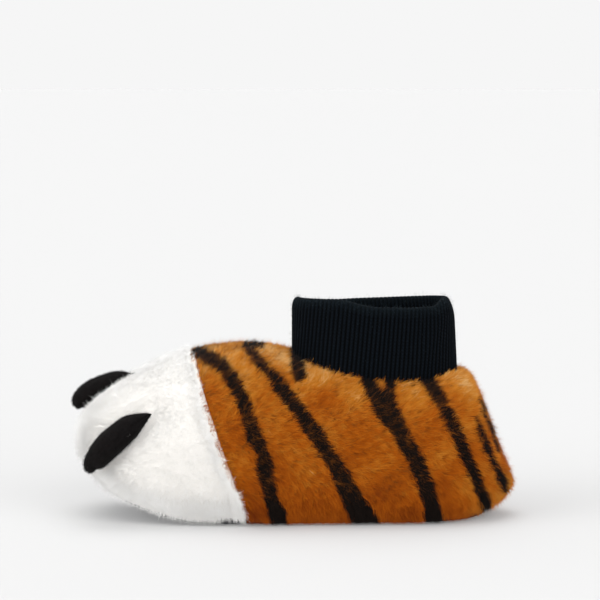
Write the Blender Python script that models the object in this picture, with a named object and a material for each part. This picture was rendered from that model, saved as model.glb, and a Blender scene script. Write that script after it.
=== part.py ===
"""A child's plush paw house slipper, left foot, at its real size in metres.

The toe points to -X, the outer side of the foot to -Y, and the sole stands on Z = 0.
Everything follows from the shape of the last, which is one table of cross sections.
The plush upper is the skin between that shape and two smaller ones inside it, the
toe cap is the padded white panel in front of the slanting seam, and the sole, the
insole and the knitted cuff take their outlines from the same functions.
"""

import math
from typing import NamedTuple

import bmesh
import bpy
import numpy as np

# All sizes below are in millimetres. MM turns them into metres when a mesh is made.
MM = 0.001
GAP = 0.3  # clearance between two pieces that are sewn or glued together

# Walls of the upper
PILE = 3.2  # plush pile and its backing
LINER = 1.8  # lining under the pile
TOE_PADDING = 8.0  # plush and stuffing over the toes
PADDING_STARTS = -46.0  # along the shoe, where the stuffing begins
PADDING_FULL = -78.0

# Sole and insole
SOLE_THICKNESS = 3.0
SOLE_TOE_THICKNESS = 1.6  # it thins under the toes, where it turns up
SOLE_THIN_FROM = -66.0
SOLE_INSET = 2.2  # the plush rolls over the sole's edge by this much
SOLE_ROUNDING = 0.9  # of its lower edge
INSOLE_THICKNESS = 4.7
INSOLE_ROUNDING = 0.6
PLATE_END = 1.0  # half width at which a plate's rounded end stops
TURNED_EDGE = 1.0  # how far the upper's edge turns in under the foot, past its wall
SPRING_STARTS = -46.0
TOE_SPRING = 11.5  # rise of the sole under its front end
TOE_SPRING_LENGTH = 40.0
TOE_SPRING_POWER = 1.2  # how gently it starts to rise
HEEL_LIFT_STARTS = 70.0
HEEL_LIFT = 1.5
HEEL_LIFT_LENGTH = 24.0

# Seam between the white toe and the striped body: a plane that leans towards the toe
SEAM_FOOT = -20.0  # where the plane meets the floor
SEAM_LEAN = 0.345  # run towards the toe for each millimetre of height
TOE_FORM_ENDS = -14.0  # the padded toe's form runs back to here before the seam cuts it

# Knitted cuff
COLLAR_FRONT = -1.8
COLLAR_BACK = 75.2
COLLAR_HALF_WIDTH = 22.5
COLLAR_ROUNDNESS = 2.3  # superellipse power of the opening in plan
COLLAR_CUT_FROM = 50.0  # height inside the foot space where the opening starts
CUFF_WALL = 3.0  # two layers of rib knit
RIM_LEAN = 1.8  # how far the rim leans in over the heel
# Height of the folded rim by the turn in plan, in degrees: heel 0, inner side 90, toe 180, outer side 270
RIM = (
    (0.0, 100.8), (45.0, 99.9), (90.0, 98.5), (112.0, 97.9), (135.0, 98.2), (180.0, 100.6), (225.0, 101.0),
    (250.0, 100.8), (268.0, 97.6), (290.0, 97.2), (316.0, 97.5), (329.0, 100.4), (345.0, 100.8),
)

# Claws
CLAW_HOLLOW = 5.0  # depth of the trough that each claw's dart pulls into the toe
CLAW_HOLLOW_REACH = 8.5

# Roundness of the last's cross sections
CROWN_POWER = 2.15  # over the instep
FOOT_POWER = 3.0  # down the sides to the sole

# How finely the forms are cut into facets
LAST_RINGS = 34
LAST_AROUND = 36
LINER_RINGS = 30
LINER_AROUND = 28
TOE_RINGS = 24
TOE_AROUND = 56
SOLE_STATIONS = 34
CUFF_AROUND = 48
CLAW_RINGS = 13
CLAW_AROUND = 14
FINE = 400  # rows read from a table where values are looked up
TINY = 1e-6
SHARP_DEGREES = 40.0  # edges sharper than this are shaded as edges

# How far the forms that only cut others reach past them
CLEAR_BELOW = -30.0
CLEAR_ABOVE = 140.0
CLEAR_SIDE = 80.0
CLEAR_END = 150.0


class Section(NamedTuple):
    """One cross section of the last."""

    along: float  # place along the shoe, toe to heel
    middle: float  # sideways place of the ridge
    low: float  # underside, before the sole cuts it flat
    ridge: float  # top
    outer: float  # half width towards the outer side
    inner: float  # half width towards the inner side
    girth: float  # height of the widest point


LAST = (
    Section(-100.4, 3.0, 37.0, 37.0, 0.0, 0.0, 37.0),
    Section(-99.2, 2.9, 28.5, 46.5, 12.5, 12.5, 37.0),
    Section(-95.2, 2.7, 22.0, 53.5, 23.0, 22.5, 36.5),
    Section(-87.6, 2.2, 15.0, 60.0, 32.0, 31.0, 34.0),
    Section(-76.0, 1.5, 6.6, 67.0, 38.6, 37.5, 30.0),
    Section(-60.0, 0.8, 0.0, 73.6, 43.2, 41.5, 26.5),
    Section(-40.0, 0.2, -2.2, 78.4, 45.0, 42.8, 24.0),
    Section(-18.0, 0.0, -2.2, 80.0, 44.4, 40.8, 23.0),
    Section(5.0, 0.0, -2.2, 75.6, 42.6, 38.4, 22.0),
    Section(30.0, 0.0, -2.2, 72.2, 41.0, 37.4, 22.0),
    Section(55.0, 0.0, -2.0, 70.4, 39.4, 37.0, 22.0),
    Section(71.0, 0.0, -0.6, 69.8, 36.4, 35.4, 21.5),
    Section(78.3, 0.0, 0.8, 68.2, 32.8, 32.4, 21.0),
    Section(83.2, 0.0, 2.4, 61.5, 29.4, 29.2, 20.0),
    Section(89.6, 0.0, 5.0, 46.5, 23.8, 23.8, 18.5),
    Section(94.9, 0.0, 8.2, 31.5, 16.0, 16.0, 17.0),
    Section(99.0, 0.0, 12.0, 20.5, 7.6, 7.6, 15.8),
    Section(100.5, 0.0, 15.0, 15.0, 0.0, 0.0, 15.0),
)


class ClawPlace(NamedTuple):
    """Where one claw lies on the toe."""

    side: str
    base: tuple  # sewn-in end
    belly: tuple  # a point halfway along its middle line
    tip: tuple  # free end
    outward: tuple  # the way it stands off the toe


CLAWS = (
    ClawPlace("outer", (-63.5, -34.5, 51.0), (-79.5, -36.5, 41.0), (-93.5, -30.0, 24.0), (-0.3, -1.0, 0.35)),
    ClawPlace("middle", (-71.0, 1.5, 64.0), (-89.2, 2.6, 58.5), (-101.6, 3.0, 49.0), (-0.45, 0.0, 1.0)),
    ClawPlace("inner", (-63.5, 35.0, 51.0), (-79.5, 37.5, 41.0), (-93.5, 32.0, 24.0), (-0.3, 1.0, 0.35)),
)


class ClawRing(NamedTuple):
    """Thickness of a claw at one place along it."""

    share: float  # from base to tip
    half_width: float
    half_depth: float


CLAW_FORM = (
    ClawRing(0.00, 0.0, 0.0),
    ClawRing(0.06, 1.8, 1.5),
    ClawRing(0.22, 4.0, 3.6),
    ClawRing(0.45, 5.9, 5.3),
    ClawRing(0.66, 6.2, 5.8),
    ClawRing(0.85, 5.0, 4.9),
    ClawRing(0.96, 2.9, 2.8),
    ClawRing(1.00, 0.0, 0.0),
)


class Finish(NamedTuple):
    """Plain surface of one piece."""

    colour: tuple
    roughness: float


TIGER_PLUSH = Finish((0.35, 0.10, 0.008), 0.95)
WHITE_PLUSH = Finish((0.88, 0.87, 0.83), 0.95)
BLACK_KNIT = Finish((0.006, 0.007, 0.009), 0.9)
BLACK_FELT = Finish((0.011, 0.009, 0.009), 0.95)
GREY_TEXTILE = Finish((0.02, 0.02, 0.022), 0.9)
CREAM_FLEECE = Finish((0.62, 0.57, 0.48), 0.95)


# Curves and tables


def smooth_rows(table, count):
    """Rows read at even steps along a smooth curve through every row of a table."""
    rows = np.array(table, float)
    steps = np.linalg.norm(np.diff(rows, axis=0), axis=1)
    place = np.concatenate([[0.0], np.cumsum(steps)])
    slopes = np.gradient(rows, place, axis=0)
    wanted = np.linspace(0.0, place[-1], count)
    before = np.clip(np.searchsorted(place, wanted, side="right") - 1, 0, len(rows) - 2)
    length = (place[before + 1] - place[before])[:, None]
    t = ((wanted - place[before])[:, None]) / length
    start, end = rows[before], rows[before + 1]
    leave, arrive = slopes[before] * length, slopes[before + 1] * length
    return (
        (2 * t**3 - 3 * t**2 + 1) * start
        + (t**3 - 2 * t**2 + t) * leave
        + (3 * t**2 - 2 * t**3) * end
        + (t**3 - t**2) * arrive
    )


FINE_LAST = smooth_rows(LAST, FINE)


def last_at(along):
    """The last's section at a place along the shoe."""
    return Section(along, *(np.interp(along, FINE_LAST[:, 0], column) for column in FINE_LAST[:, 1:].T))


def eased(value, start, end):
    """0 before start, 1 past end, and a smooth step between them."""
    t = np.clip((value - start) / (end - start), 0.0, 1.0)
    return t * t * (3 - 2 * t)


def sole_rise(along):
    """Height of the sole's underside: flat under ball and heel, sprung at the toe, lifted at the back."""
    toe = np.maximum(SPRING_STARTS - along, 0.0) / TOE_SPRING_LENGTH
    heel = np.maximum(along - HEEL_LIFT_STARTS, 0.0) / HEEL_LIFT_LENGTH
    return TOE_SPRING * toe**TOE_SPRING_POWER + HEEL_LIFT * heel**2


def sole_top(along):
    """Height of the sole's upper face."""
    thinned = (SOLE_THICKNESS - SOLE_TOE_THICKNESS) * eased(along, SPRING_STARTS, SOLE_THIN_FROM)
    return sole_rise(along) + SOLE_THICKNESS - thinned


def upper_floor(along):
    """Height of the upper's lower edge, just above the sole."""
    return sole_top(along) + GAP


def insole_top(along):
    """Height of the footbed."""
    return upper_floor(along) + INSOLE_THICKNESS


def padding(along):
    """Thickness of plush and stuffing over the liner."""
    return PILE + (TOE_PADDING - PILE) * eased(along, PADDING_STARTS, PADDING_FULL)


def power_of(values, power):
    """Signed power, for superellipses."""
    return np.sign(values) * np.abs(values) ** power


def crown_height(along, across):
    """Height of the closed last above a point in plan."""
    section = last_at(along)
    offset = across - section.middle
    half_width = np.where(offset < 0, section.outer, section.inner)
    share = np.clip(np.abs(offset) / half_width, 0.0, 1.0)
    return section.girth + (section.ridge - section.girth) * (1 - share**CROWN_POWER) ** (1 / CROWN_POWER)


def foot_half_widths(along, height):
    """Half widths of the last at a height below its girth, towards the outer and inner side."""
    section = last_at(along)
    full_depth = np.maximum(section.girth - section.low, TINY)
    depth = np.clip((section.girth - height) / full_depth, 0.0, 1.0)
    share = (1 - depth**FOOT_POWER) ** (1 / FOOT_POWER)
    return section.outer * share, section.inner * share


# Surfaces as grids of points: ring, place around the ring, coordinate


def last_ring(section, around):
    """One closed section of the last, cut flat where it meets the sole."""
    angle = np.linspace(0.0, 2 * math.pi, around, endpoint=False) - math.pi / 2
    across, up = np.cos(angle), np.sin(angle)
    power = np.where(up > 0, 2 / CROWN_POWER, 2 / FOOT_POWER)
    half_width = np.where(across < 0, section.outer, section.inner)
    half_height = np.where(up > 0, section.ridge - section.girth, section.girth - section.low)
    y = section.middle + half_width * power_of(across, power)
    z = section.girth + half_height * power_of(up, power)
    z = np.maximum(z, min(upper_floor(section.along), section.girth))
    return np.stack([np.full(around, section.along), y, z], axis=1)


def last_surface(rings, around, until=None):
    """The last's outer surface from the toe, as far back as `until` or to the heel."""
    stop = LAST[-1].along if until is None else until
    rows = FINE_LAST[FINE_LAST[:, 0] <= stop + 1e-6]
    chosen = rows[np.linspace(0, len(rows) - 1, rings).round().astype(int)]
    return np.stack([last_ring(Section(*row), around) for row in chosen])


def outward_normals(grid):
    """Unit normals of a grid of rings, pointing out."""
    lengthwise = np.gradient(grid, axis=0)
    around = np.roll(grid, -1, axis=1) - np.roll(grid, 1, axis=1)
    normals = np.cross(around, lengthwise)
    normals[0] = (-1.0, 0.0, 0.0)
    if np.ptp(grid[-1], axis=0).max() < 1e-6:
        normals[-1] = (1.0, 0.0, 0.0)
    return normals / np.linalg.norm(normals, axis=2, keepdims=True)


def shrunk(grid, distance):
    """The grid moved inwards by a distance, which may vary along the shoe."""
    depth = distance(grid[..., 0]) if callable(distance) else np.full(grid.shape[:2], distance)
    return grid - outward_normals(grid) * depth[..., None]


def claw_axis(place, count):
    """Points along the middle of a claw, a curve from base to tip that passes its belly."""
    base, belly, tip = (np.array(point, float) for point in (place.base, place.belly, place.tip))
    control = 2 * belly - (base + tip) / 2
    t = np.linspace(0.0, 1.0, count)[:, None]
    return (1 - t) ** 2 * base + 2 * t * (1 - t) * control + t**2 * tip


def claw_surface(place, grow=0.0):
    """Rings of one claw, thicker by `grow` for the seat that it lies in."""
    form = smooth_rows(CLAW_FORM, CLAW_RINGS)
    axis = claw_axis(place, FINE)
    share = np.linspace(0.0, 1.0, FINE)
    centres = np.stack([np.interp(form[:, 0], share, column) for column in axis.T], axis=1)
    tangents = np.gradient(centres, axis=0)
    tangents /= np.linalg.norm(tangents, axis=1, keepdims=True)
    centres[0] -= grow * tangents[0]
    centres[-1] += grow * tangents[-1]
    outward = np.array(place.outward) - tangents * (tangents @ np.array(place.outward))[:, None]
    outward /= np.linalg.norm(outward, axis=1, keepdims=True)
    sideways = np.cross(tangents, outward)
    angle = np.linspace(0.0, 2 * math.pi, CLAW_AROUND, endpoint=False)
    thickness = form[:, 1:] + grow * (form[:, 1:] > 0)
    return (
        centres[:, None]
        + sideways[:, None] * (thickness[:, :1] * np.cos(angle))[..., None]
        + outward[:, None] * (thickness[:, 1:] * np.sin(angle))[..., None]
    )


def toe_surface():
    """The padded toe: the last's front with a trough along each claw."""
    grid = last_surface(TOE_RINGS, TOE_AROUND, until=TOE_FORM_ENDS)
    depth = np.zeros(grid.shape[:2])
    for place in CLAWS:
        axis = claw_axis(place, FINE // 10)
        distance = np.linalg.norm(grid[:, :, None] - axis, axis=3).min(axis=2)
        depth = np.maximum(depth, CLAW_HOLLOW * np.exp(-((distance / CLAW_HOLLOW_REACH) ** 2)))
    return grid - outward_normals(grid) * depth[..., None]


def collar_outline(inset):
    """Plan of the collar opening, moved in by `inset`: points and the angle of each."""
    angle = np.linspace(0.0, 2 * math.pi, CUFF_AROUND, endpoint=False)
    power = 2 / COLLAR_ROUNDNESS
    half_length = (COLLAR_BACK - COLLAR_FRONT) / 2
    x = (COLLAR_BACK + COLLAR_FRONT) / 2 + (half_length - inset) * power_of(np.cos(angle), power)
    y = (COLLAR_HALF_WIDTH - inset) * power_of(np.sin(angle), power)
    return x, y, angle


def cuff_surface():
    """The knitted tube: up its outside, over the folded rim and down its inside."""
    fold = CUFF_WALL / 2
    x, y, angle = collar_outline(GAP)
    bottom = crown_height(x, y) - PILE - LINER
    turns, heights = zip(*RIM)
    top = np.interp(np.degrees(angle), turns, heights, period=360.0)
    profile = (
        (GAP, bottom),
        (GAP, (bottom + top) / 2),
        (GAP, top - fold),
        (GAP + fold * 0.3, top - fold * 0.3),
        (GAP + fold, top),
        (GAP + CUFF_WALL - fold * 0.3, top - fold * 0.3),
        (GAP + CUFF_WALL, top - fold),
        (GAP + CUFF_WALL, (bottom + top) / 2),
        (GAP + CUFF_WALL, bottom),
    )
    rings = []
    for inset, height in profile:
        x, y, _ = collar_outline(inset)
        lean = RIM_LEAN * np.maximum(np.cos(angle), 0.0) * (height - bottom) / (top - bottom)
        rings.append(np.stack([x - lean, y, height], axis=1))
    return np.stack(rings)


def plate_surface(edge, inset, underside, topside, rounding):
    """Rings of a plate that follows the sole: bottom, rounded lower edge, side and top.

    Its outline lies inside the upper's flat underside by `edge` of the place along the shoe and by `inset`.
    """
    front, back = underside_ends(edge)
    turn = np.linspace(0.0, math.pi, SOLE_STATIONS + 2)[1:-1]
    stations = (front + back) / 2 - ((back - front) / 2 - inset) * np.cos(turn)
    rings = []
    for along in stations:
        outer, inner = underside_half_widths(along, edge(along) + inset)
        middle = last_at(along).middle
        low, high = underside(along), topside(along)
        outline = (
            (-outer + rounding, low),
            (inner - rounding, low),
            (inner, low + rounding),
            (inner, high),
            (-outer, high),
            (-outer, low + rounding),
        )
        rings.append([(along, middle + y, z) for y, z in outline])
    return np.array(rings)


def underside_half_widths(along, edge):
    """Half widths of the last's flat underside, less an edge all round."""
    outer, inner = foot_half_widths(along, upper_floor(along))
    return np.maximum(outer - edge, PLATE_END), np.maximum(inner - edge, PLATE_END)


def underside_ends(edge):
    """Front and back end of the last's flat underside, less an edge all round."""
    along = FINE_LAST[:, 0]
    inside = along[np.minimum(*underside_half_widths(along, edge(along))) > PLATE_END]
    return inside.min(), inside.max()


def sole_edge(along):
    """How far the sole's outline lies inside the flat underside of the upper."""
    return np.full_like(along, SOLE_INSET)


def turned_edge(along):
    """Width of the upper's underside that turns in around the insole."""
    return padding(along) + LINER + TURNED_EDGE


# Objects


def material_of(name, finish):
    """A matt material in the piece's colour."""
    material = bpy.data.materials.new(name)
    material.use_nodes = True
    shader = material.node_tree.nodes["Principled BSDF"]
    shader.inputs["Base Color"].default_value = (*finish.colour, 1.0)
    shader.inputs["Roughness"].default_value = finish.roughness
    shader.inputs["Metallic"].default_value = 0.0
    return material


def loft(name, grid, ring_closed=False):
    """An object lofted through rings. Its ends are closed, or joined to each other when `ring_closed`."""
    mesh = bpy.data.meshes.new(name)
    work = bmesh.new()
    rings = [[work.verts.new(point * MM) for point in ring] for ring in np.asarray(grid, float)]
    pairs = list(zip(rings, rings[1:]))
    if ring_closed:
        pairs.append((rings[-1], rings[0]))
    for first, second in pairs:
        for i in range(len(first)):
            j = (i + 1) % len(first)
            work.faces.new((first[i], first[j], second[j], second[i]))
    if not ring_closed:
        work.faces.new(rings[0])
        work.faces.new(rings[-1])
    bmesh.ops.remove_doubles(work, verts=work.verts, dist=0.001 * MM)
    bmesh.ops.recalc_face_normals(work, faces=work.faces)
    work.to_mesh(mesh)
    work.free()
    mesh.shade_smooth()
    mesh.set_sharp_from_angle(angle=math.radians(SHARP_DEGREES))
    made = bpy.data.objects.new(name, mesh)
    bpy.context.scene.collection.objects.link(made)
    return made


def prism(name, outline, axis, low, high):
    """An object made by drawing a flat outline along one axis (0, 1 or 2) from low to high."""
    rings = [np.insert(np.array(outline, float), axis, level, axis=1) for level in (low, high)]
    return loft(name, rings)


def helper(made):
    """Marks a form that only shapes the others."""
    made.hide_render = True
    made.display_type = "WIRE"
    return made


def combine(target, other, operation):
    """Cuts, joins or intersects the target with a helper."""
    modifier = target.modifiers.new(other.name, "BOOLEAN")
    modifier.operation = operation
    modifier.object = other
    modifier.solver = "EXACT"


def seam_half(name, shift, far_end):
    """Everything on one side of the seam's plane, as a wide block."""
    edge = [(SEAM_FOOT + shift - SEAM_LEAN * z, z) for z in (CLEAR_BELOW, CLEAR_ABOVE)]
    far_edge = [(far_end, CLEAR_ABOVE), (far_end, CLEAR_BELOW)]
    return helper(prism(name, edge + far_edge, 1, -CLEAR_SIDE, CLEAR_SIDE))


def open_underside():
    """The hole under the upper, from below its edge to inside the lining."""
    reach = TOE_PADDING + LINER
    floor, ceiling = (lambda along: upper_floor(along) - reach), (lambda along: upper_floor(along) + reach)
    return helper(loft("underside_form", plate_surface(turned_edge, 0.0, floor, ceiling, GAP)))


def build_upper(underside, body_half):
    """The striped upper: pile behind the seam, liner all the way to the toe, hollow inside."""
    surface = last_surface(LAST_RINGS, LAST_AROUND)
    inner_form = last_surface(LINER_RINGS, LINER_AROUND)
    liner = helper(loft("liner_form", shrunk(inner_form, padding)))
    hollow = helper(loft("foot_form", shrunk(inner_form, lambda along: padding(along) + LINER)))
    x, y, _ = collar_outline(0.0)
    collar = helper(prism("collar_form", np.stack([x, y], axis=1), 2, COLLAR_CUT_FROM, CLEAR_ABOVE))
    upper = loft("upper", surface)
    combine(upper, body_half, "INTERSECT")
    combine(upper, liner, "UNION")
    for form in (underside, collar, hollow):  # the two ways in first, so that the foot space meets them
        combine(upper, form, "DIFFERENCE")
    return upper


def build_toe_cap(underside, toe_half):
    """The white padded panel over the toes, seated on the liner and hollowed for the claws."""
    inner_form = last_surface(LINER_RINGS, LINER_AROUND)
    liner = helper(loft("liner_clearance", shrunk(inner_form, lambda along: padding(along) - GAP)))
    toe_cap = loft("toe_cap", toe_surface())
    combine(toe_cap, toe_half, "INTERSECT")
    for form in (liner, underside):
        combine(toe_cap, form, "DIFFERENCE")
    for place in CLAWS:
        combine(toe_cap, helper(loft("seat_" + place.side, claw_surface(place, GAP))), "DIFFERENCE")
    return toe_cap


def build_sole():
    """The outsole: flat under ball and heel, with toe spring and a rounded lower edge."""
    return loft("outsole", plate_surface(sole_edge, 0.0, sole_rise, sole_top, SOLE_ROUNDING))


def build_insole():
    """The footbed, which drops into the hole under the upper and lies on the sole."""
    return loft("insole", plate_surface(turned_edge, GAP, upper_floor, insole_top, INSOLE_ROUNDING))


def centre_on_floor(pieces):
    """Parents the pieces to one empty that puts the middle of their box over the origin."""
    bpy.context.view_layer.update()
    graph = bpy.context.evaluated_depsgraph_get()
    corners = []
    for piece in pieces:
        mesh = piece.evaluated_get(graph).to_mesh()
        points = np.empty(len(mesh.vertices) * 3, np.float32)
        mesh.vertices.foreach_get("co", points)
        corners += [points.reshape(-1, 3).min(axis=0), points.reshape(-1, 3).max(axis=0)]
        piece.evaluated_get(graph).to_mesh_clear()
    low, high = np.min(corners, axis=0), np.max(corners, axis=0)
    root = bpy.data.objects.new("slipper", None)
    root.location = (-(low[0] + high[0]) / 2, -(low[1] + high[1]) / 2, -low[2])
    bpy.context.scene.collection.objects.link(root)
    for made in list(bpy.data.objects):
        if made.type == "MESH":
            made.parent = root


def main():
    for old in list(bpy.data.objects):
        bpy.data.objects.remove(old)
    underside = open_underside()
    body_half = seam_half("body_half", 0.0, CLEAR_END)
    toe_half = seam_half("toe_half", -GAP, -CLEAR_END)
    finishes = {
        build_upper(underside, body_half): ("tiger_plush", TIGER_PLUSH),
        build_toe_cap(underside, toe_half): ("white_plush", WHITE_PLUSH),
        loft("cuff", cuff_surface(), ring_closed=True): ("black_knit", BLACK_KNIT),
        build_sole(): ("sole_textile", GREY_TEXTILE),
        build_insole(): ("insole_fleece", CREAM_FLEECE),
    }
    for place in CLAWS:
        finishes[loft("claw_" + place.side, claw_surface(place))] = ("black_felt", BLACK_FELT)
    for piece, (name, finish) in finishes.items():
        known = bpy.data.materials.get(name)
        piece.data.materials.append(known or material_of(name, finish))
    centre_on_floor(list(finishes))


main()
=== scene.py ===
"""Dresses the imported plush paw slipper: striped pile, white toe, black claws, rib cuff and cloth sole.

The toe points to -X, the outer side to -Y and the sole stands on Z = 0, as in the frame.
Sizes are in millimetres, and MM turns them into metres where a mesh is made.
"""

import logging
import math
from collections.abc import Callable
from dataclasses import dataclass
from enum import Enum
from typing import NamedTuple

import bpy
import numpy as np
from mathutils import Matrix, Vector
from mathutils.bvhtree import BVHTree

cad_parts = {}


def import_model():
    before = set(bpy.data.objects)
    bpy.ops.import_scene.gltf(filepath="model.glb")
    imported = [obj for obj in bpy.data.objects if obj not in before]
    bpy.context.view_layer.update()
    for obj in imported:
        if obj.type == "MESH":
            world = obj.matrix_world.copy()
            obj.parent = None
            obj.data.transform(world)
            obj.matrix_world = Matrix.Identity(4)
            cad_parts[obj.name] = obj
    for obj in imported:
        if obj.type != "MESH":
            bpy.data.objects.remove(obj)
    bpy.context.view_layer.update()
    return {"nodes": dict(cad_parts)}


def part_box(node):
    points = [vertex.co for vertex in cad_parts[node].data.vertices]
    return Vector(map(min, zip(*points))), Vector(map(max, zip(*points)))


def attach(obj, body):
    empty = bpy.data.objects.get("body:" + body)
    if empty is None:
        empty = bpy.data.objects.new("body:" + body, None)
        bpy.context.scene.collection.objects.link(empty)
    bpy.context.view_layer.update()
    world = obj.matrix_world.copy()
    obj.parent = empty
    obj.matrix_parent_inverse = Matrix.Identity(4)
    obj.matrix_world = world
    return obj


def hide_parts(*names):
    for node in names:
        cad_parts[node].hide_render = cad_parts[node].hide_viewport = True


LOG = logging.getLogger("slipper")
MM = 0.001
BODY = "root"
FIBRE_MAP = "Fibre"  # across it the shade of a fibre, up it the way from root to tip
BAKE_MAP = "OFBake"  # the same layout again, in a second map

# The seam between the white toe and the striped body is a plane that leans towards the toe.
SEAM_FOOT = -18.77
SEAM_LEAN = 0.345
# The striped pile starts a little in front of it, and more so halfway up the sides and at the crest.
PILE_ADVANCE = 1.2
SEAM_BOW = 2.1
BOW_RISES = (10.0, 30.0)
BOW_FALLS = (57.0, 65.0)
CREST_ADVANCE = 1.8
CREST_HEIGHTS = (70.0, 76.0)
EDGE_WANDERS = ((4.6, 0.4), (1.9, 0.25))  # waves along the line where the piles meet: how long, how far
WANDER_SEED = 18
# The upper's lower edge follows the sole, which turns up under the toes and the heel.
SOLE_EDGE = 3.3
SPRING_STARTS = -44.8
SPRING_LENGTH = 40.0
TOE_SPRING = 9.8
HEEL_LIFT_STARTS = 71.2
HEEL_LIFT_LENGTH = 24.0
HEEL_LIFT = 1.5
EDGE_DENSITY = 1.0  # how many more fibres grow along it
EDGE_BAND = (2.0, 12.0)  # above it, where they thin out again
ROUNDING = 0.75  # how far the flat faces are rounded out towards their corners' normals
# A point is outside the foot space where the surface faces away from this line along the shoe.
CORE_ENDS = (-70.0, 70.0)
CORE_HEIGHT = 35.0
UNDERSIDE = -0.86  # the flat underside's normals point further down than this
COLLAR_POWER = 2.3  # of the rounded box that is the collar's plan
# What all fibres share.
LENGTH_LIMITS = (0.55, 1.6)
LEAN_SPREAD = 7.0  # degrees
STANDING_SHARE = 0.45  # how far standing fibres lie down and shorten with the others
STANDING_WIDTH = 0.6
HALFWAY = 0.4  # of the sway and the droop of a fibre, in its lower half
FLOOR_GAPS = (0.35, 0.2)  # under its middle and its tip
SHOWN = (0.45, 0.55)  # how far its shade is that of its middle and of its tip
THIN_SOLE = (-64.0, -44.0)  # in front of these places the fibres hang less, for the sole is thin
TOE_DROOP = 0.25
HEEL_EDGE = (64.0, 80.0)  # and behind these, where it turns up
HEEL_DROOP = 0.2

Array = np.ndarray
Field = Callable[[Array, Array], Array]  # something at each place, from the places and their unit normals
Piece = bpy.types.Object
Tree = bpy.types.NodeTree
Socket = bpy.types.NodeSocket


# Numbers


def eased(value: Array, start: float, end: float) -> Array:
    """0 before start, 1 past end and a smooth step between them."""
    t = np.clip((value - start) / (end - start), 0.0, 1.0)
    return t * t * (3 - 2 * t)


def unit(vectors: Array) -> Array:
    """Vectors of length 1 in the same directions."""
    return vectors / np.maximum(np.linalg.norm(vectors, axis=-1, keepdims=True), 1e-9)


def tangent(vectors: Array, normals: Array) -> Array:
    """The part of each vector that lies along a surface."""
    return vectors - normals * (vectors * normals).sum(axis=-1, keepdims=True)


def signed_power(values: Array, power: float) -> Array:
    """Values raised to a power, with their signs kept."""
    return np.sign(values) * np.abs(values) ** power


def run_length(path: Array) -> Array:
    """The length of a path up to each of its points."""
    return np.concatenate([[0.0], np.cumsum(np.linalg.norm(np.diff(path, axis=0), axis=1))])


def crossed(corners: Array) -> Array:
    """The normal of each triangle, twice as long as its area."""
    return np.cross(corners[:, 1] - corners[:, 0], corners[:, 2] - corners[:, 0])


def ring_faces(rings: int, around: int, closed: bool = False) -> Array:
    """Makes quads between rings of points.

    Args:
        rings: how many there are.
        around: points of each.
        closed: whether the last ring joins the first.

    Returns:
        Rows of four point numbers.
    """
    ring = np.arange(rings if closed else rings - 1)[:, None]
    spot = np.arange(around)
    here, there, beside = ring * around, (ring + 1) % rings * around, (spot + 1) % around
    return np.stack([here + spot, here + beside, there + beside, there + spot], axis=2).reshape(-1, 4)


def repeated(faces: Array, copies: int, points: int) -> Array:
    """The faces of one shape for a row of copies with so many points each."""
    return (np.arange(copies)[:, None, None] * points + faces).reshape(-1, faces.shape[1])


@dataclass(frozen=True)
class Ripples:
    """A smooth random field made of a few cosine waves."""

    wavelength: float
    seed: int
    count: int = 9

    def waves(self) -> tuple[Array, Array, Array]:
        """Directions, wave numbers and phases."""
        rng = np.random.default_rng(self.seed)
        direction = unit(rng.normal(size=(self.count, 3)))
        number = 2 * math.pi / (self.wavelength * rng.uniform(0.75, 1.3, self.count))
        return direction, number, rng.uniform(0.0, 2 * math.pi, self.count)

    def value(self, points: Array) -> Array:
        """The field's height, mostly between -1 and 1."""
        direction, number, phase = self.waves()
        return np.cos(points @ direction.T * number + phase).sum(axis=1) / math.sqrt(self.count)

    def slope(self, points: Array) -> Array:
        """The way to the field's ridges, mostly shorter than 1."""
        direction, number, phase = self.waves()
        return -np.sin(points @ direction.T * number + phase) @ direction / math.sqrt(self.count)


# Meshes


class Division(Enum):
    """How a finer mesh is made."""

    SMOOTH = "CATMULL_CLARK"
    PLAIN = "SIMPLE"


def mesh_piece(name: str, points: Array, faces: Array) -> Piece:
    """Makes a smooth mesh object from arrays.

    Args:
        name: of the object.
        points: places in millimetres, one row each.
        faces: rows of point numbers, all with as many corners.

    Returns:
        The object, linked to the scene.
    """
    mesh = bpy.data.meshes.new(name)
    mesh.vertices.add(len(points))
    mesh.vertices.foreach_set("co", (points * MM).astype(np.float32).ravel())
    mesh.loops.add(faces.size)
    mesh.loops.foreach_set("vertex_index", faces.astype(np.int32).ravel())
    mesh.polygons.add(len(faces))
    mesh.polygons.foreach_set("loop_start", np.arange(0, faces.size, faces.shape[1], dtype=np.int32))
    mesh.update(calc_edges=True)
    mesh.shade_smooth()
    piece = bpy.data.objects.new(name, mesh)
    bpy.context.scene.collection.objects.link(piece)
    return piece


def select_only(piece: Piece) -> None:
    """Makes one object the selected and active one."""
    bpy.ops.object.select_all(action="DESELECT")
    piece.select_set(True)
    bpy.context.view_layer.objects.active = piece


def merged_copy(node: Piece, name: str) -> Piece:
    """Copies a node of the frame and merges its loose triangles.

    Args:
        node: the node, which isn't changed.
        name: of the copy.

    Returns:
        The copy, with its own mesh and no materials.
    """
    piece = bpy.data.objects.new(name, node.data.copy())
    bpy.context.scene.collection.objects.link(piece)
    piece.data.materials.clear()
    select_only(piece)
    bpy.ops.mesh.customdata_custom_splitnormals_clear()
    bpy.ops.object.mode_set(mode="EDIT")
    bpy.ops.mesh.select_all(action="SELECT")
    bpy.ops.mesh.remove_doubles(threshold=0.001 * MM)
    bpy.ops.object.mode_set(mode="OBJECT")
    return piece


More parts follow.
